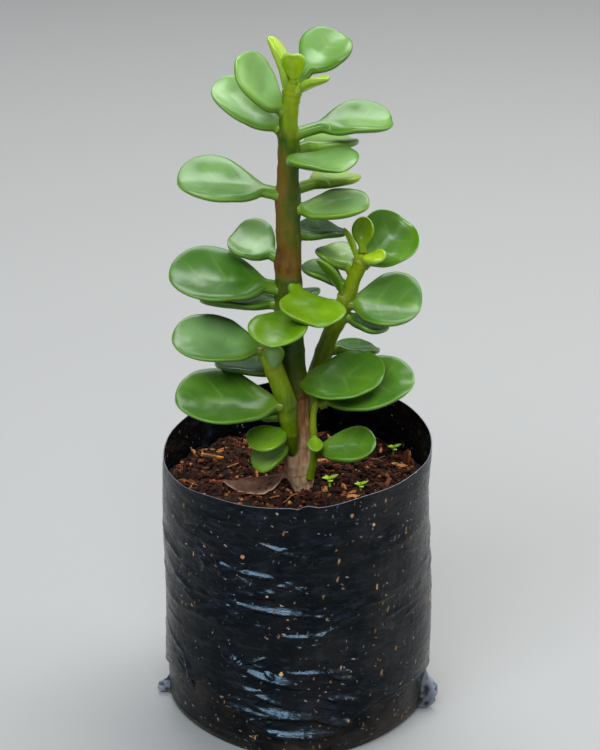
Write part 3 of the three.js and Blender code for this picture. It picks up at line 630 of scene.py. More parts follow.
def build_stem(name, material, slot):
    """A stem with the scars of its leaves and of fallen ones, furrowed where woody, with a round tip."""
    points = STEMS[name]
    rough = stem_at(points, np.linspace(0, 1, 200))[0]
    length = np.linalg.norm(np.diff(rough, axis=0), axis=1).sum()
    rows = int(length / STEM_RING_SPACING)
    shares = np.linspace(0, 1, rows)
    places, along, radii = stem_at(points, shares)
    side = unit(np.cross([0.0, 1.0, 0.0], along))
    front = np.cross(along, side)
    angles = around(STEM_SIDES)
    radial = side[:, None] * np.cos(angles)[:, None] + front[:, None] * np.sin(angles)[:, None]
    skin = places[:, None] + radial * radii[:, None, None]
    # Age, with a painted shade band on the main stem under its leaves.
    age = np.interp(skin[..., 2], *STEM_AGE_AND_SHADE[name])
    if name == "main_stem":
        age = age - SIDE_AGE * radial[..., 0] * clamp01((skin[..., 2] - SIDE_AGE_START) / 20)

    swell = np.zeros((rows, STEM_SIDES))
    scar = np.zeros((rows, STEM_SIDES))
    for leaf in LEAVES:
        if leaf.stem != name:
            continue
        at = stem_share(points, leaf.height) * (rows - 1)
        gap = (np.arange(rows) - at) * length / rows
        facing = clamp01(radial @ heading_of(leaf.turn))
        swell += bump(gap, 1.0)[:, None] * (0.35 * SCAR_RISE + SCAR_RISE * facing**2)
        swell += 0.12 * radii[:, None] * bump(gap + 1.0, 2.4)[:, None] * facing**3
        scar = np.maximum(scar, bump(gap - 0.9, 0.4)[:, None] * (0.15 + 0.35 * facing))
    # Bare rings between the leaf pairs, where lower leaves have dropped.
    lowest, highest = points[0][2] + BARE_SCAR_ENDS[0], points[-1][2] - BARE_SCAR_ENDS[1]
    for height in np.arange(lowest, highest, BARE_SCAR_SPACING):
        at = stem_share(points, height) * (rows - 1)
        gap = (np.arange(rows) - at) * length / rows
        lean = 0.8 * np.cos(angles + height)
        swell += 0.5 * SCAR_RISE * bump(gap[:, None] + lean, 0.7)
        scar = np.maximum(scar, 0.25 * bump(gap[:, None] + lean - 0.5, 0.3))

    woody = clamp01((age - 0.55) / 0.35)
    grain_place = skin * np.array([1.0, 1.0, 0.28])
    furrow = creases(grain_place, 1.7, 3) ** 2 - 0.5 + 0.5 * noise(grain_place, 0.7, 5)
    lumps = noise(skin, 4.5, 11) * 0.18 + noise(skin, 1.6, 12) * 0.05
    rise = swell + lumps * (0.6 + woody) + furrow * (0.03 + 0.42 * woody)
    tip = clamp01((1 - shares) * length / radii)
    rounding = np.sqrt(np.maximum(1 - (1 - tip) ** 2, 0.002))
    skin = places[:, None] + radial * ((radii[:, None] + rise) * rounding[:, None])[..., None]
    ages = capped(age, age[0].mean(), age[-1].mean())
    add_piece(f"{name}_skin", *loft(skin), material, slot, node=name, age=ages, scar=capped(scar))


# ---- leaves ----

LEAF_SIDES = 72
LEAF_STALK_RINGS = 14
LEAF_BLADE_RINGS = 64
LEAF_PATH_STEPS = 240
FACE_DISH = 0.6  # how deep the upper face is dished, and how high its margins swell, by half thickness
RIM_SWELL = 0.14
MIDRIB_CHANNEL = 0.12
MARGIN_WAVE = 0.22  # how far the margin of a grown leaf waves up and down
SWELLS = ((0.34, 7.5), (0.15, 3.6))  # height and size of the flesh's uneven swells
VEIN_SPACING = 3.2  # side veins along the blade
VEIN_DEPTH = 0.1
TIP_GAP = 0.02  # the last ring is this far from the tip


def leaf_half_width(s, width, stalk):
    """Half the width at a share s of the length: a stalk that opens into an egg-shaped blade."""
    start = BLADE_OVERLAP * stalk
    x = clamp01((s - start) / (1 - start))
    widest = BLADE_BASE_POWER / (BLADE_BASE_POWER + BLADE_TIP_POWER)
    opening = x**BLADE_BASE_POWER * (1 - x) ** BLADE_TIP_POWER
    most = widest**BLADE_BASE_POWER * (1 - widest) ** BLADE_TIP_POWER
    blade = opening / most * width / 2
    share = YOUNG_STALK_SHARE if width < YOUNG_LEAF_WIDTH else STALK_SHARE_OF_WIDTH
    stalk_half = share * width / 2 * (1 - x**3)
    return (blade**BLADE_BLEND + stalk_half**BLADE_BLEND) ** (1 / BLADE_BLEND)


def rounded(value):
    """The cosine or sine of a round section, pushed out towards a box's."""
    return np.sign(value) * np.abs(value) ** LEAF_SECTION_POWER


def build_leaf(leaf, seed, material, slot):
    """A leaf whose middle is a smooth curve from the stem. s is a share of its length and x of its blade's,
    u runs from one margin to the other, and v from the lower face to the upper."""
    stem = STEMS[leaf.stem]
    stem_place, _, stem_radius = stem_at(stem, np.array([stem_share(stem, leaf.height)]))
    heading = heading_of(leaf.turn)
    base = stem_place[0] + LEAF_START * stem_radius[0] * heading

    blade_steps = np.linspace(0, np.pi, LEAF_BLADE_RINGS)
    stalk_part = np.linspace(0, leaf.stalk, LEAF_STALK_RINGS, endpoint=False)
    blade_part = leaf.stalk + (1 - leaf.stalk) * (1 - np.cos(blade_steps)) / 2
    s = np.concatenate([stalk_part, blade_part])
    s[-1] = 1 - TIP_GAP / leaf.length
    fine = np.linspace(0, 1, LEAF_PATH_STEPS + 1)
    pitch = np.radians(leaf.rise + (leaf.tip_rise - leaf.rise) * (fine[1:] + fine[:-1]) / 2)
    steps = np.cos(pitch)[:, None] * heading + np.sin(pitch)[:, None] * UP
    steps = steps * leaf.length / LEAF_PATH_STEPS
    path = base + np.concatenate([[np.zeros(3)], np.cumsum(steps, axis=0)])
    middle = np.stack([np.interp(s, fine, path[:, axis]) for axis in range(3)], axis=-1)
    pitch = np.radians(leaf.rise + (leaf.tip_rise - leaf.rise) * s)
    along = np.cos(pitch)[:, None] * heading + np.sin(pitch)[:, None] * UP
    left = np.array([-heading[1], heading[0], 0.0])
    roll = math.radians(leaf.roll)
    across = left * math.cos(roll) + np.cross(along, left) * math.sin(roll)
    up = np.cross(along, across)

    # The outline flares at the stalk's foot, and wanders a little, on each leaf in its own way.
    flare = 1 + BASE_FLARE * clamp01(1 - s * leaf.length / BASE_FLARE_LENGTH)
    wander = 1 + 0.02 * np.sin(5 * s + seed) + 0.012 * np.sin(11 * s + 2.3 * seed)
    half = leaf_half_width(s, leaf.width, leaf.stalk) * flare * np.where(s > leaf.stalk, wander, 1)
    x = clamp01((s - leaf.stalk) / (1 - leaf.stalk))
    half_thickness = min(LEAF_THICKNESS, THICKNESS_SHARE_OF_WIDTH * leaf.width) / 2
    thick = half_thickness * flare * np.sqrt(np.maximum(1 - x**4, 0))
    thick = np.minimum(thick, STALK_ROUNDNESS * half)
    angle = around(LEAF_SIDES)
    u = rounded(np.cos(angle))
    v = rounded(np.sin(angle))
    # The upper face is dished between two fat margins, with a fine channel down the midrib.
    open_blade = clamp01(3 * x)[:, None]
    reach = np.maximum(1 - (2 * x[:, None] - 1) ** 2, 0)
    dish = (RIM_SWELL * bump(np.abs(u) - 0.78, 0.2) - FACE_DISH * (1 - u**2) ** 1.5) * reach**0.7 * (v > 0)
    channel = MIDRIB_CHANNEL * (0.4 + 8 * leaf.fold) * bump(u, 0.1) * (v > 0)
    channel = channel * clamp01(1.6 * (1 - x))[:, None]
    lift = thick[:, None] * (v + (dish - channel) * open_blade)
    bend = 2 * LEAF_CUP * u**2 + leaf.fold * np.sqrt(u**2 + 0.02) + leaf.bowl * u**4
    lift += half[:, None] * bend * open_blade
    if leaf.width > YOUNG_LEAF_WIDTH:
        lift += MARGIN_WAVE * (np.sin(6.5 * x + 1.9 * seed)[:, None] * u * np.abs(u)) * reach**0.5
    # A bowl-shaped leaf also turns its tip up.
    lift += leaf.bowl * half[:, None] * 1.2 * (clamp01(x - 0.55) / 0.45)[:, None] ** 2
    margin = np.minimum(half[:, None] * (1 - np.abs(u)), ((1 - s) * leaf.length)[:, None] + 0 * u)
    # Veins: strokes that leave the midrib forwards, paler and a little sunk.
    stroke = np.abs(((x[:, None] * VEIN_SPACING - 0.9 * np.abs(u) + 0.31 * seed) % 1) - 0.5) * 2
    vein = clamp01(1 - (1 - stroke) / 0.16) * clamp01(1.6 - 2 * np.abs(u)) * (v > 0.4) * reach
    broken = clamp01(0.6 + 0.7 * np.sin(9 * x + 1.7 * seed))[:, None]
    midrib = 0.4 * (0.1 + 8 * leaf.fold) * broken * bump(u, 0.04) * (v > 0) * reach**0.5
    midrib = np.maximum(midrib, 0.3 * vein)
    ring = middle[:, None] + across[:, None] * (half[:, None] * u)[..., None]
    ring = ring + up[:, None] * lift[..., None]
    # The flesh swells unevenly, mostly on the upper face.
    waves = sum(rise * noise(ring + 31 * seed, size, seed + i) for i, (rise, size) in enumerate(SWELLS))
    waves = waves * (0.45 + 0.75 * (v > 0)) - VEIN_DEPTH * vein
    ring = ring + up[:, None] * (waves * open_blade * clamp01(half_thickness)[..., None])[..., None]
    points, faces = loft(ring)
    flat = np.ones((len(s), LEAF_SIDES))
    # The pale veil, partly the wax's bloom and partly painted sheen, lies thickest in the middle of the blade
    # and in patches, and fades out at the fat margin.
    bloom = leaf.bloom * clamp01(margin / 2) * (0.85 + 0.5 * noise(ring, 6, seed + 2))
    # A young leaf gets no painted shade on its under face.
    upper = np.maximum(clamp01(0.5 + 2 * v), float(leaf.width < YOUNG_LEAF_WIDTH))
    add_piece(
        f"{leaf.name}_blade",
        points,
        faces,
        material,
        slot,
        node=leaf.name,
        along=capped(s[:, None] * flat, 0, 1),
        margin=capped(margin, half[0], 0),
        upper=capped(upper * flat, 0.5, 0.5),
        midrib=capped(midrib),
        tone=np.full(len(points), leaf.tone),
        bloom=capped(bloom),
    )


# ---- bag ----

BAG_COLUMNS = 560
BAG_ROWS = 270
BAG_INNER_ROWS = 50
INNER_DEPTH = 16  # the film's inside is drawn fine this far below the rim
FOOT_HEIGHTS = [0, 0.25, 0.6, 1.0]
EDGE_ROUNDING = 0.15
HIDDEN_HEIGHTS = [30, 3]  # the inside under the mix, drawn plain and a little further in
HIDDEN_INSET = 2.2

# Ledges where the film has slumped, as seen on the front: turn, height, half length, tilt in degrees, depth,
# and how far above the crest the film starts to swell out, and below it has tucked back in.
FRONT_WRINKLES = [
    (-92, 68.5, 13, -17, 1.2, 2.3, 1.4),
    (-131, 61.5, 4, -28, 1.0, 1.6, 1.2),
    (-121, 61.5, 5.5, -24, 1.1, 1.8, 1.2),
    (-106, 61, 8, -4, 1.1, 1.8, 1.4),
    (-88, 57, 6, -8, 0.9, 1.6, 1.2),
    (-108, 55, 6, 2, 0.9, 1.5, 1.0),
    (-127, 51, 9, 6, 0.8, 1.8, 1.4),
    (-99, 49.7, 14, -3, 1.5, 2.3, 1.4),
    (-71, 47, 7, 10, 0.8, 1.8, 1.2),
    (-86, 42, 9, 3, 0.9, 1.7, 1.3),
    (-117, 31.6, 5, -14, 1.3, 1.9, 1.2),
    (-109, 33, 6, 22, 1.2, 1.9, 1.2),
    (-100, 27.5, 13, -13, 1.6, 2.5, 1.4),
    (-82, 30, 10, 3, 1.0, 1.7, 1.3),
    (-72, 27.8, 6, -20, 1.2, 2.0, 1.4),
    (-73, 20.5, 8, -12, 1.4, 2.2, 1.2),
    (-104, 21.5, 9, -18, 1.3, 2.0, 1.3),
    (-99, 16, 18, -2, 2.1, 3.2, 1.6),
    (-87, 9.5, 13, 0, 2.0, 3.0, 1.6),
    (-74, 12.5, 8, -14, 1.6, 2.4, 1.4),
    (-143, 22, 5, -62, 1.0, 2.4, 1.4),
]
WRINKLE_COUNT = 150  # the same slump all round, drawn by chance
CRUMPLES = ((0.6, 8), (0.4, 3.6), (0.12, 1.9))  # depth and size of the film's finer creases
SMALL_FOLDS = 3  # short folds that break up each of the front's ledges

# The folded foot's lower edge shows on the front as a wide V: turns in degrees, and heights.
FLAP_EDGE = [(-184, 12), (-160, 18), (-131, 20.5), (-123.7, 18), (-100.6, 9.4), (-87, 5)]
FLAP_EDGE += [(-74.6, 8.9), (-62, 13.5), (-50, 17), (-25, 16), (4, 12)]
FLAP_STEP = 1.1  # how far the flap above the V stands out over the film below it
DULL_CREST = -0.22  # the mark of the dull film under the flap, where 0 is plain film and 1 a rubbed crest
# A short lap in the front of the rim: where it starts, and how far the film beyond it stands out.
LAP_TURN = -88
LAP_STEP = 0.7


def chance_wrinkles():
    """Seeded wrinkles all round the bag, and short folds across the front's ledges."""
    draw = np.random.default_rng(41)
    wrinkles = []
    for _ in range(WRINKLE_COUNT):
        turn = draw.uniform(0, 360)
        height = draw.uniform(6, 74)
        size = draw.uniform(0.4, 1) ** 1.5
        front = bump(turn - 270, 60)
        length = 13 * size * draw.uniform(0.6, 1)
        depth = (1.15 - 0.45 * front) * size
        tilt = draw.normal(0, 14)
        wrinkles.append((turn, height, length, tilt, depth, 2.6 * size, 1.3 * size + 0.3))
    for ledge_turn, ledge_height, half_length, *_ in FRONT_WRINKLES:
        for _ in range(SMALL_FOLDS):
            turn = ledge_turn + draw.uniform(-1, 1) * math.degrees(half_length / BAG_RADIUS)
            height = ledge_height + draw.uniform(-3, 3)
            wrinkles.append((turn, height, draw.uniform(1.5, 4), draw.normal(0, 16), 0.7, 1.2, 0.8))
    return wrinkles


WRINKLES = FRONT_WRINKLES + chance_wrinkles()


def bag_form(angle, z):
    """Radius of the bag's plain form, before any wrinkle: round above, a rounded diamond at its foot."""
    foot = clamp01(1 - z / BAG_FOOT_HEIGHT) ** 2
    power = 2 - BAG_FOOT_SQUARENESS * foot
    diamond = (np.abs(np.cos(angle)) ** power + np.abs(np.sin(angle)) ** power) ** (-1 / power)
    dents = 0.35 * np.sin(3 * angle + z / 14) + 0.25 * np.sin(5 * angle - z / 9)
    fade = clamp01(z / 10) * clamp01((BAG_HEIGHT + 6 - z) / 10)
    belly = BAG_BULGE * np.sin(np.pi * clamp01(z / BAG_HEIGHT))
    inset = np.interp(z, *zip(*BAG_FOOT_PROFILE))
    return BAG_RADIUS * diamond + belly + dents * fade - inset


def wrapped(angle, turn):
    """The angle from a turn in degrees, between minus and plus half a circle, in radians."""
    return (angle - math.radians(turn) + np.pi) % (2 * np.pi) - np.pi


def flap_rise(angle, z):
    """How far the folded foot's flap stands out, and how far (0 to 1) a point lies on it."""
    turns, heights = zip(*FLAP_EDGE)
    # Turns run on past the front, from the back on its left to the back on its right.
    turn = np.degrees(wrapped(angle, LAP_TURN) + math.radians(LAP_TURN))
    inside = z - np.interp(turn, turns, heights)
    ends = clamp01((turn - turns[0]) / 9) * clamp01((turns[-1] - turn) / 9)
    on_flap = clamp01(0.5 + inside / 0.9)
    return FLAP_STEP * on_flap * ends * np.exp(-np.maximum(inside, 0) / 9), 1 - (1 - on_flap) * ends


def wrinkle_rise(angle, z):
    """How far the ledges and crumples of the film stand out or in."""
    total = np.zeros(np.broadcast(angle, z).shape)
    for turn, height, half_length, tilt, depth, above, below in WRINKLES:
        run = wrapped(angle, turn) * BAG_RADIUS
        rise = z - height
        c, s, _ = heading_of(tilt)
        level = run * c + rise * s
        over = -run * s + rise * c + 0.06 * level * np.abs(level) / half_length
        taper = clamp01(1 - (level / half_length) ** 2)
        width = np.where(over > 0, above, below) * np.maximum(taper, 0.12)
        near = clamp01(1 - np.abs(over) / width)
        total += depth * taper * np.where(over > 0, near**1.5, near)
    place = places_at(BAG_RADIUS * np.cos(angle), BAG_RADIUS * np.sin(angle), z)
    # The film is slack between its two side folds and pulled flat along them.
    slack = 0.3 + 0.7 * clamp01(1.6 * np.sin(angle) ** 2)
    flat = place * np.array([0.3, 0.3, 1.0])
    warped = flat + 1.5 * noise(place, 13, 2)[..., None]
    (broad, broad_size), (middling, middling_size), (fine, fine_size) = CRUMPLES
    patches = clamp01(0.5 + 1.2 * noise(place, 16, 24))
    total += broad * (creases(warped, broad_size, 21) ** 2 - 0.5)
    total += middling * (creases(warped + 40, middling_size, 22) ** 3 - 0.4) * patches
    total += fine * (creases(place, fine_size, 23) - 0.6)
    return total * slack


def film_radius(angle, z):
    """Radius of the film's outer face. The wrinkles die out at the flat base and the taut rim."""
    fade = clamp01(z / 4) * (0.25 + 0.75 * clamp01((BAG_HEIGHT - 4 - z) / 8))
    flap, on_flap = flap_rise(angle, z)
    rise = wrinkle_rise(angle, z) * (0.3 + 0.7 * on_flap) - 0.6
    past = wrapped(angle, LAP_TURN) * BAG_RADIUS
    lap = LAP_STEP * clamp01(past / 0.7) * np.exp(-np.maximum(past, 0) / 9) * clamp01((z - 64) / 16)
    return bag_form(angle, z) + (rise + flap) * fade + lap


def rim_lift(angle):
    """How far the rim stands above its mean height."""
    return RIM_SLOPE * np.cos(angle - math.radians(RIM_TURN)) - RIM_WAVE * np.cos(2 * angle)


def film_rings(heights, inset, angles):
    """Rings of the film, `inset` inside its outer face, at heights that the rim's slope lifts further."""
    angle, z = np.meshgrid(angles, heights)
    radius = film_radius(angle, z) - inset
    past = wrapped(angle, LAP_TURN) * BAG_RADIUS
    ripple = 0.25 * np.sin(5 * angle) + 0.15 * np.sin(11 * angle + 1)
    ripple = ripple + 0.9 * bump(past - 1.5, 2.2) - 0.6 * bump(past + 1, 1.2)
    lift = (rim_lift(angle) + ripple) * clamp01((z - BAG_WALL_TOP) / (BAG_HEIGHT - BAG_WALL_TOP))
    return places_at(radius * np.cos(angle), radius * np.sin(angle), z + lift)


def build_bag(material):
    """The film: up the outer face, over its rolled edge, down the inner face and under the mix."""
    angles = around(BAG_COLUMNS)
    heights = np.concatenate([FOOT_HEIGHTS, np.linspace(1.5, BAG_HEIGHT - EDGE_ROUNDING, BAG_ROWS)])
    outer = film_rings(heights, 0, angles)
    edge = film_rings([BAG_HEIGHT], FILM / 2, angles)
    down = np.linspace(BAG_HEIGHT - EDGE_ROUNDING, BAG_HEIGHT - INNER_DEPTH, BAG_INNER_ROWS)
    inner = film_rings(down, FILM, angles)
    low = film_rings(HIDDEN_HEIGHTS, HIDDEN_INSET, angles)
    rings = np.concatenate([outer, edge, inner, low])
    points, faces = loft(rings)
    rim = np.zeros(rings.shape[:2])
    edge_row = len(heights)
    # The rolled edge at the rim gets a painted highlight.
    rim[edge_row] = 1
    # The crests are where the film leans back, facing up.
    crest = np.zeros(rings.shape[:2])
    lean = -np.gradient(np.hypot(outer[..., 0], outer[..., 1]), heights, axis=0)
    crest[:edge_row] = clamp01((lean - 0.2) / 0.4)
    angle = np.broadcast_to(angles, rings.shape[:2])
    _, on_flap = flap_rise(angle, rings[..., 2])
    crest = np.where(on_flap < 0.5, DULL_CREST, crest)
    # Dust settles low down and under the flap, and the film is cleaner high up at the front. The extra on the
    # bag's right and left sides is partly dust and partly a painted reflection of brown ground.
    dusty = 0.25 + 0.3 * clamp01(1 - rings[..., 2] / 34) + 0.6 * bump(wrapped(angle, -35), 0.8)
    dusty = np.minimum(dusty + 0.25 * bump(wrapped(angle, 195), 0.5), 1) + 0.9 * (1 - on_flap)
    add_piece(
        "bag_film",
        points,
        faces,
        material,
        "film",
        node="bag",
        rim=capped(rim),
        dusty=capped(dusty, 0.5, 0.5),
        crest=capped(crest),
    )


def build_ear(name, turn, reach, height, material):
    """The corner of the folded foot: a crumpled pocket of film that stands out of the wall."""
    rows, columns = 48, 44
    climb = np.linspace(0, 1, rows)[:, None]
    angle = around(columns)[None, :]
    # Seen from the side, the pocket is fullest low down and runs out in a narrow pleat above.
    full = np.interp(climb, [0, 0.12, 0.35, 0.5, 0.7, 1], [0.62, 0.95, 1, 0.62, 0.4, 0])
    span = (reach + EAR_ROOT) * full
    thick = 1.5 * np.interp(climb, [0, 0.15, 0.4, 0.6, 1], [0.55, 1, 0.9, 0.4, 0.15])
    run = BAG_RADIUS - EAR_SINK - EAR_ROOT + span * (0.5 + 0.5 * rounded(np.cos(angle)))
    sway = 0.8 * np.sin(2.6 * climb + 0.6) - 0.3
    place = places_at(run, sway + thick * np.sin(angle), height * climb)
    outward = places_at(np.cos(angle), np.sin(angle), 0 * climb)
    crumple = 0.7 * (creases(place, 3.4, 33) - 0.6) + 0.7 * (creases(place, 1.7, 34) - 0.6)
    place = place + outward * (crumple * np.sin(np.pi * clamp01(climb * 1.6 + 0.15)) ** 0.5)[..., None]
    place[..., 2] = np.maximum(place[..., 2], 0.05)
    c, s, _ = heading_of(turn)
    points, faces = loft(place @ np.array([[c, s, 0], [-s, c, 0], [0, 0, 1]]))
    # The raised folds of the crumpled film get the same pale painted highlight as the rim's edge.
    rim = 0.1 + 0.9 * clamp01(0.5 + crumple * 2.6)
    add_piece(
        name,
        points,
        faces,
        material,
        "film",
        rim=capped(rim),
        dusty=np.full(len(points), 1.0),
        crest=np.full(len(points), 0.5),
    )


# ---- potting mix ----


def soil_height(x, y):
    """Height of the mix, as in the part's source: lumpy, and heaped a little round the trunk."""
    lumps = (
        np.sin(0.42 * x + 0.8) * np.cos(0.37 * y)
        + 0.6 * np.sin(0.9 * x - 0.5 * y)
        + 0.4 * np.cos(1.3 * y + 0.6 * x)
    )
    heap = 1.2 * np.exp(-((x - TRUNK_PLACE[0]) ** 2 + (y - TRUNK_PLACE[1]) ** 2) / 120)
    return SOIL_LEVEL + 0.5 * SOIL_RELIEF * lumps + heap


SOIL_RINGS = 150
SOIL_COLUMNS = 380


def build_soil(material):
    """The bed of the mix: its wall behind the film, and its crumbly top."""
    angles = around(SOIL_COLUMNS)
    angle, z = np.meshgrid(angles, np.array([4, 20, 40, 60, 71.0]))
    radius = film_radius(angle, z) - FILM - 0.9
    wall = places_at(radius * np.cos(angle), radius * np.sin(angle), z)
    edge = film_radius(angles, np.full(SOIL_COLUMNS, SOIL_LEVEL)) - FILM - 0.25
    shares = np.linspace(1, 0.004, SOIL_RINGS)[:, None]
    x = shares * edge * np.cos(angles)
    y = shares * edge * np.sin(angles)
    place = places_at(x, y, 0 * x)
    crumbs = 0.7 * noise(place, 4.2, 51) + 0.75 * (creases(place, 2.1, 52) - 0.5)
    crumbs = crumbs + 0.4 * noise(place, 0.9, 53)
    # The outermost ring is sunk, so that the bed's edge is rounded against the film.
    sunk = 1.2 * (shares > 0.999)
    top = places_at(x, y, soil_height(x, y) - 0.35 + crumbs - sunk)
    # The top's tone follows its crumbs: paler on the lumps and darker in the hollows, as painted shade.
    tone = np.concatenate([np.full(wall.shape[:2], 0.3), 0.42 + 0.22 * crumbs])
    skin = loft(np.concatenate([wall, top]))
    add_piece("mix_bed", *skin, material, "potting_mix", node="soil", tone=capped(tone, 0.3, 0.4))


def turned(points, turns):
    """Points turned about X, then Y, then Z, in radians."""
    for axis, angle in enumerate(turns):
        c, s = math.cos(angle), math.sin(angle)
        i, j = (axis + 1) % 3, (axis + 2) % 3
        first, second = points[:, i].copy(), points[:, j].copy()
        points[:, i] = c * first - s * second
        points[:, j] = s * first + c * second
    return points


def flake(draw, length, width, height):
    """A broken flake: a rough many-sided slab whose top edge is chipped back."""
    sides = int(draw.integers(5, 9))
    angles = np.sort((np.arange(sides) + draw.uniform(-0.3, 0.3, sides)) * 2 * np.pi / sides)
    reach = draw.uniform(0.75, 1.1, sides)
    rings = []
    for level, shrink in ((-0.5, 0.8), (-0.28, 1.0), (0.22, 0.97), (0.5, 0.72)):
        jitter = draw.uniform(0.88, 1.1, sides)
        tilt = draw.uniform(-0.06, 0.06, sides)
        x, y = (0.5 * across * reach * shrink * jitter for across in (length, width))
        rings.append(places_at(x * np.cos(angles), y * np.sin(angles), height * (level + tilt)))
    return loft(np.array(rings))


def part_source_chips():
    """Sizes, turns and places of the chips of the part's source, by the same seeded draw."""
    state = 1851

    def draw():
        nonlocal state
        state = state * 16807 % 2147483647
        return state / 2147483647

    def between(low, high):
        return low + (high - low) * draw()

    chips = []
    while len(chips) < CHIP_COUNT:
        reach = CHIP_REACH * math.sqrt(draw())
        angle = 2 * math.pi * draw()
        size = (between(*CHIP_LENGTH), between(*CHIP_WIDTH), between(*CHIP_HEIGHT))
        turns = (between(-0.25, 0.25), between(-0.3, 0.3), between(0, math.pi))
        x, y = reach * math.cos(angle), reach * math.sin(angle)
        if math.hypot(x - TRUNK_PLACE[0], y - TRUNK_PLACE[1]) > TRUNK_CLEARANCE:
            chips.append((size, turns, x, y))
    return chips


SMALL_CHIP_COUNT = 760
FIBRE_COUNT = 260
FIBRE_SIDES = 6
CRUMB_COUNT = 1500
LITTER_REACH = 37.6  # nothing loose lies further out, or it would pass through the film
LITTER_CLEARANCE = 4.6  # nor nearer than this to the trunk's middle


def scattered(draw):
    """A chance place on the mix, clear of the trunk."""
    while True:
        distance = LITTER_REACH * math.sqrt(draw.random())
        angle = 2 * math.pi * draw.random()
        x, y = distance * math.cos(angle), distance * math.sin(angle)
        if math.hypot(x - TRUNK_PLACE[0], y - TRUNK_PLACE[1]) > LITTER_CLEARANCE:
            return x, y


def build_chips(material):
    """The chips of the part's source, broken finer, and small ones strewn among them."""
    draw = np.random.default_rng(7)
    parts = []
    for (length, width, height), turns, x, y in part_source_chips():
        points, faces = flake(draw, length * 1.08, width * 1.12, height)
        points = turned(points, turns) + [x, y, soil_height(x, y) - 0.3]
        parts.append((points, faces, draw.choice([0.2, 0.35, 0.5], p=[0.5, 0.35, 0.15])))
    for _ in range(SMALL_CHIP_COUNT):
        x, y = scattered(draw)
        length = draw.uniform(1.4, 6.2)
        width = length * draw.uniform(0.2, 0.5)
        height = draw.uniform(0.35, 0.9)
        points, faces = flake(draw, length, width, height)
        turns = draw.normal(0, 0.28), draw.normal(0, 0.28), draw.uniform(0, np.pi)
        points = turned(points, turns) + [x, y, soil_height(x, y) + draw.uniform(-0.1, 0.75)]
        parts.append((points, faces, draw.choice([0.15, 0.35, 0.55, 0.85], p=[0.42, 0.33, 0.16, 0.09])))
    add_parts("bark_chips", parts, material, "potting_mix", smooth=False)


def build_crumbs(material):
    """Crumbs of coir, under a millimetre and a half across."""
    draw = np.random.default_rng(8)
    parts = []
    for _ in range(CRUMB_COUNT):
        x, y = scattered(draw)
        size = draw.uniform(0.35, 1.3)
        points, faces = flake(draw, size * 1.2, size, size * 0.8)
        points = turned(points, draw.uniform(0, np.pi, 3)) + [x, y, soil_height(x, y) + draw.uniform(0, 0.6)]
        parts.append((points, faces, draw.choice([0.25, 0.45, 0.7, 0.98], p=[0.52, 0.36, 0.1, 0.02])))
    add_parts("coir_crumbs", parts, material, "potting_mix", smooth=False)


def ring_round(along, sides):
    """Unit directions all round each of the directions `along`, none of which is upright."""
    side = unit(np.cross(along, UP))
    over = np.cross(side, along)
    angles = around(sides)[:, None]
    return side[..., None, :] * np.cos(angles) + over[..., None, :] * np.sin(angles)


def fibre(draw, x, y, length, radius, lift):
    """A curved, tapering thread lying on the mix."""
    steps = 14
    turn = draw.uniform(0, 2 * np.pi) + np.cumsum(draw.normal(0, 0.12, steps))
    run = places_at(np.cos(turn), np.sin(turn), 0 * turn) * length / steps
    middle = np.cumsum(run, axis=0) - run.sum(axis=0) / 2 + [x, y, 0]
    reach = np.hypot(middle[:, 0], middle[:, 1])
    middle[:, :2] *= np.minimum(1, LITTER_REACH / reach)[:, None]
    arch = np.sin(np.linspace(0, np.pi, steps)) * draw.uniform(0, 1.4)
    middle[:, 2] = soil_height(middle[:, 0], middle[:, 1]) + lift + arch
    ring = ring_round(unit(np.gradient(middle, axis=0)), FIBRE_SIDES)
    size = radius * np.linspace(1, 0.5, steps)[:, None, None]
    return loft((middle[:, None] + ring * size)[:, ::-1])


def build_fibres(material):
    """Threads of coir strewn on the mix."""
    draw = np.random.default_rng(9)
    parts = []
    for _ in range(FIBRE_COUNT):
        x, y = scattered(draw)
        length = draw.uniform(3, 11)
        points, faces = fibre(draw, x, y, length, draw.uniform(0.08, 0.22), draw.uniform(0.1, 0.7))
        parts.append((points, faces, draw.choice([0.15, 0.3, 0.5, 0.85], p=[0.4, 0.3, 0.2, 0.1])))
    add_parts("coir_fibres", parts, material, "potting_mix")


# ---- what lies on the mix ----


def build_dry_leaf(material):
    """A fallen leaf, dried and folded, with puckers, painted shade in their hollows, and a painted highlight
    on its front edge.
    """
    bow, lean, curl, end_rises = DRY_LEAF_BEND.values()
    rows, columns = 60, 48
    steps = (np.arange(rows) + 0.35) / (rows - 1 + 0.7)
    along = ((1 - np.cos(np.pi * steps)) / 2)[:, None]
    out = 2 * along - 1
    angle = around(columns)
    across = DRY_LEAF["width"] / 2 * np.sin(np.pi * along) ** 0.7 * np.cos(angle)
    lift = curl * across**2 / DRY_LEAF["width"] + lean * across + np.where(out < 0, *end_rises) * out**2
    lift = lift + DRY_LEAF["thickness"] / 2 * np.sin(angle)
    forward = bow * (1 - out**2)
    place = places_at(out * DRY_LEAF["length"] / 2, across - forward, lift)
    pucker = creases(place * [0.45, 1, 1], 2.4, 61) - 0.5
    place[..., 2] += 0.55 * pucker + 0.3 * noise(place, 1.3, 62)
    edge = clamp01(-np.cos(angle)) ** 4 * np.ones((rows, 1))
    points, faces = loft(place[:, ::-1])
    points = turned(points, (0, 0, math.radians(DRY_LEAF["turn"])))
    points = points + [*DRY_LEAF["middle"], SOIL_LEVEL + DRY_LEAF["height"]]
    # Painted shade and highlight: darker in the puckers' hollows, paler on their ridges, palest on the front
    # edge.
    tone = capped((0.35 + 0.25 * pucker + 0.55 * edge)[:, ::-1], 0.6, 0.6)
    add_piece("fallen_dry_leaf", points, faces, material, "dry_leaf", node="dry_leaf", tone=tone)


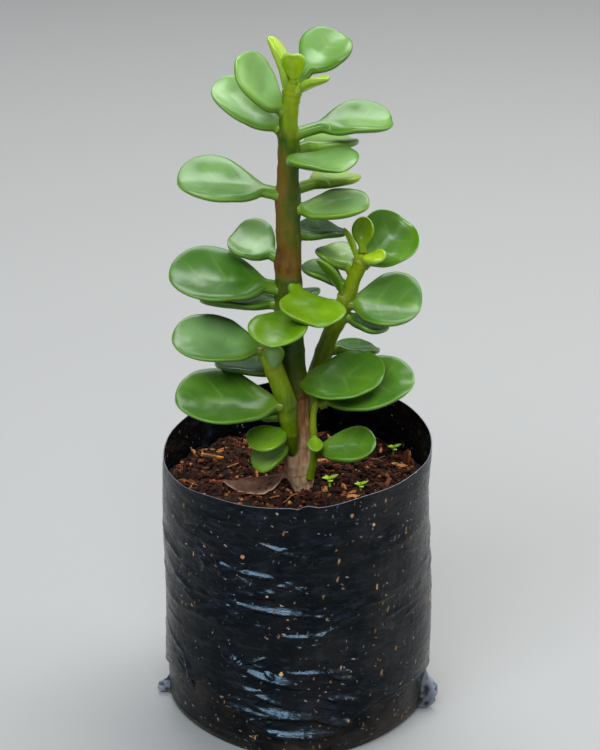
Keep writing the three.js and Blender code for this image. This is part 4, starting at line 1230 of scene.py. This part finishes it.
def build_twig(material):
    """A short, snapped twig whose two ends are broken rough."""
    start = np.array([*TWIG["start"], SOIL_LEVEL + 1.6])
    end = np.array([*TWIG["end"], SOIL_LEVEL + 2.6])
    rows, sides = 40, 20
    share = np.linspace(0, 1, rows)[:, None]
    along = unit(end - start)
    middle = start + (end - start) * share
    angles = around(sides)
    ring = ring_round(along, sides)
    radius = TWIG["radius"] * (1 - 0.2 * share) + 0 * angles
    place = middle[:, None] + ring * radius[..., None]
    radius = radius * (0.9 + 0.12 * noise(place, 1.1, 71)) - 0.2 * (np.cos(3 * angles) > 0.6)
    place = middle[:, None] + ring * radius[..., None]
    place = place + along * (0.5 * noise(place, 0.7, 72) * (np.abs(share - 0.5) > 0.47))[..., None]
    tone = 0.35 + 0.6 * clamp01((share - 0.72) / 0.1) + 0.5 * clamp01((0.14 - share) / 0.1) + 0 * angles
    skin = loft(place[:, ::-1])
    add_piece("snapped_twig", *skin, material, "twig", node="twig", tone=capped(tone, 0.8, 1.0))


def build_wall_chip(material):
    """A flake of bark standing on edge by the film."""
    draw = np.random.default_rng(12)
    thickness, width, height = WALL_CHIP["size"]
    parts = []
    for level in range(3):
        points, faces = flake(draw, height * (1 - 0.1 * level), width * (1 - 0.12 * level), thickness / 2.4)
        points = points + [0.2 * level, 0.1 * level, (level - 1) * thickness / 3.2]
        points = points[:, [2, 1, 0]] * [1, -1, 1]
        lean = math.radians(WALL_CHIP["lean"])
        points = turned(points, (0, lean, math.atan2(WALL_CHIP["at"][1], WALL_CHIP["at"][0])))
        points = points + [*WALL_CHIP["at"], SOIL_LEVEL + height / 2 - 1]
        parts.append((points, faces, 0.5 + 0.15 * level))
    add_parts("standing_bark_chip", parts, material, "twig", node="wall_chip", smooth=False)


def seed_leaf(length, width, thickness):
    """A small oval leaf from the origin along +X, cupped upwards."""
    rows, columns = 16, 16
    s = (1 - np.cos(np.linspace(0.04, np.pi - 0.04, rows))) / 2
    half = width / 2 * np.sin(np.pi * s[:, None] ** 0.8) + 0.12
    angle = around(columns)
    across = half * np.cos(angle)
    body = thickness / 2 * np.sin(angle) * np.sin(np.pi * s[:, None]) ** 0.5
    lift = body + 0.35 * across**2 / width + 0.25 * length * s[:, None] ** 1.5
    return loft(places_at(length * s[:, None], across, lift))


def build_seedling(number, at, height, spread, material):
    """A thin stalk with two pairs of seed leaves, one a little above the other."""
    ground = soil_height(*at)
    steps = 18
    share = np.linspace(0, 1, steps)
    bend = 0.25 * np.sin(2.4 * share + number)
    middle = places_at(at[0] + bend, at[1], ground - 3 + (height + 2.8) * share)
    angles = around(10)
    circle = places_at(np.cos(angles), np.sin(angles), 0)
    stalk = middle[:, None] + circle * (0.42 - 0.12 * share)[:, None, None]
    points, faces = loft(stalk)
    parts = [(points, faces, 0.55)]
    for i in range(4):
        points, faces = seed_leaf(spread * (0.98 - 0.1 * i), spread / 1.9, 0.45)
        points = turned(points, (0, 0, i * 1.57 + 0.4))
        points = points + [at[0] + bend[-1], at[1], ground + height - 0.7 - (i % 2) * 0.7]
        parts.append((points, faces, 0.5 + 0.12 * i))
    name = f"seedling_{number}"
    add_parts(f"{name}_plant", parts, material, "seedling", node=name)


# ---- studio ----

FOCAL_PIXELS = 2310  # the lens, in pixels of the photograph
PHOTO_HEIGHT = 750
SENSOR = 36
CAMERA_PLACE = (0.7528, -635.903, 364.903)
CAMERA_PITCH = 22  # degrees below level
FLOOR_HALF = 4.0  # metres


def add_camera():
    """The camera at the photograph's angle. The sensor's long side is the photograph's height."""
    camera = bpy.data.objects.new("camera", bpy.data.cameras.new("camera"))
    bpy.context.collection.objects.link(camera)
    camera.data.sensor_width = SENSOR
    camera.data.lens = SENSOR * FOCAL_PIXELS / PHOTO_HEIGHT
    camera.location = np.array(CAMERA_PLACE) * MM
    camera.rotation_euler = (math.radians(90 - CAMERA_PITCH), 0, 0)
    bpy.context.scene.camera = camera


def add_softbox(name, turn, rise, distance, width, height, watts, colour):
    """A soft square light that faces the plant, placed by its turn and rise in degrees, sizes in metres."""
    light = bpy.data.lights.new(name, "AREA")
    light.shape = "RECTANGLE"
    light.size = width
    light.size_y = height
    light.energy = watts
    light.color = linear(colour)[:3]
    lamp = bpy.data.objects.new(name, light)
    bpy.context.collection.objects.link(lamp)
    level = distance * math.cos(math.radians(rise))
    aim = Vector((0, 0, 0.1))
    place = Vector(heading_of(turn)) * level + Vector((0, 0, distance * math.sin(math.radians(rise))))
    lamp.location = aim + place
    lamp.rotation_euler = (-place).to_track_quat("-Z", "Y").to_euler()


def add_world():
    """A soft sky: pale at the level of the eye, dim above it and bright overhead, as under a shade net."""
    world = bpy.data.worlds.new("studio")
    world.use_nodes = True
    tree = world.node_tree
    heading = add(tree, "ShaderNodeTexCoord").outputs["Generated"]
    rise = add(tree, "ShaderNodeSeparateXYZ", {0: heading}).outputs[2]
    stops = [(0.06, 0.4), (0.26, 0.1), (0.5, 0.1), (0.95, 0.58)]
    strength = add(tree, "ShaderNodeValToRGB", {"Fac": rise}, stops)
    feed(tree, tree.nodes["Background"], {"Color": linear("#e6eefc"), "Strength": strength})
    bpy.context.scene.world = world


def add_studio():
    """A pale floor, a soft sky and three softboxes: overhead, on the right, and wide and low in front."""
    half = FLOOR_HALF
    corners = [(-half, -half, 0), (half, -half, 0), (half, half, 0), (-half, half, 0)]
    mesh = bpy.data.meshes.new("floor")
    mesh.from_pydata(corners, [], [[0, 1, 2, 3]])
    mesh.materials.append(floor_material())
    floor = bpy.data.objects.new("floor", mesh)
    bpy.context.collection.objects.link(floor)
    add_world()
    add_softbox("overhead", 70, 68, 1.15, 1.15, 0.85, 19, "#fbfcff")
    add_softbox("right_sky", 12, 30, 1.3, 0.8, 0.8, 7, "#fbfcff")
    add_softbox("front_sky", 252, 47, 1.3, 1.1, 0.42, 18, "#eaf4ff")
    bpy.context.scene.view_settings.view_transform = "Standard"


# ---- build ----

add_camera()
add_studio()

leaf_skin = leaf_material()
stem_skin = stem_material()
film = film_material()
bark = litter_material("broken_bark")

for stem_name in STEMS:
    build_stem(stem_name, stem_skin, "bark" if stem_name == "main_stem" else "green_stem")
for number, one_leaf in enumerate(LEAVES):
    build_leaf(one_leaf, number, leaf_skin, "young_leaf" if one_leaf.width < YOUNG_LEAF_WIDTH else "leaf")

build_bag(film)
for ear in EARS:
    build_ear(ear["name"], ear["turn"], ear["reach"], ear["height"], film)

build_soil(litter_material("coir_and_bark_mix"))
build_chips(bark)
build_crumbs(bark)
build_fibres(bark)
build_dry_leaf(litter_material("dried_leaf"))
build_twig(litter_material("snapped_twig"))
build_wall_chip(bark)
sprout = litter_material("new_seedling")
for number, seedling in enumerate(SEEDLINGS, 1):
    build_seedling(number, seedling["at"], seedling["height"], seedling["spread"], sprout)

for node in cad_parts:
    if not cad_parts[node].hide_render:
        raise ValueError(f"nothing stands for the node {node}")
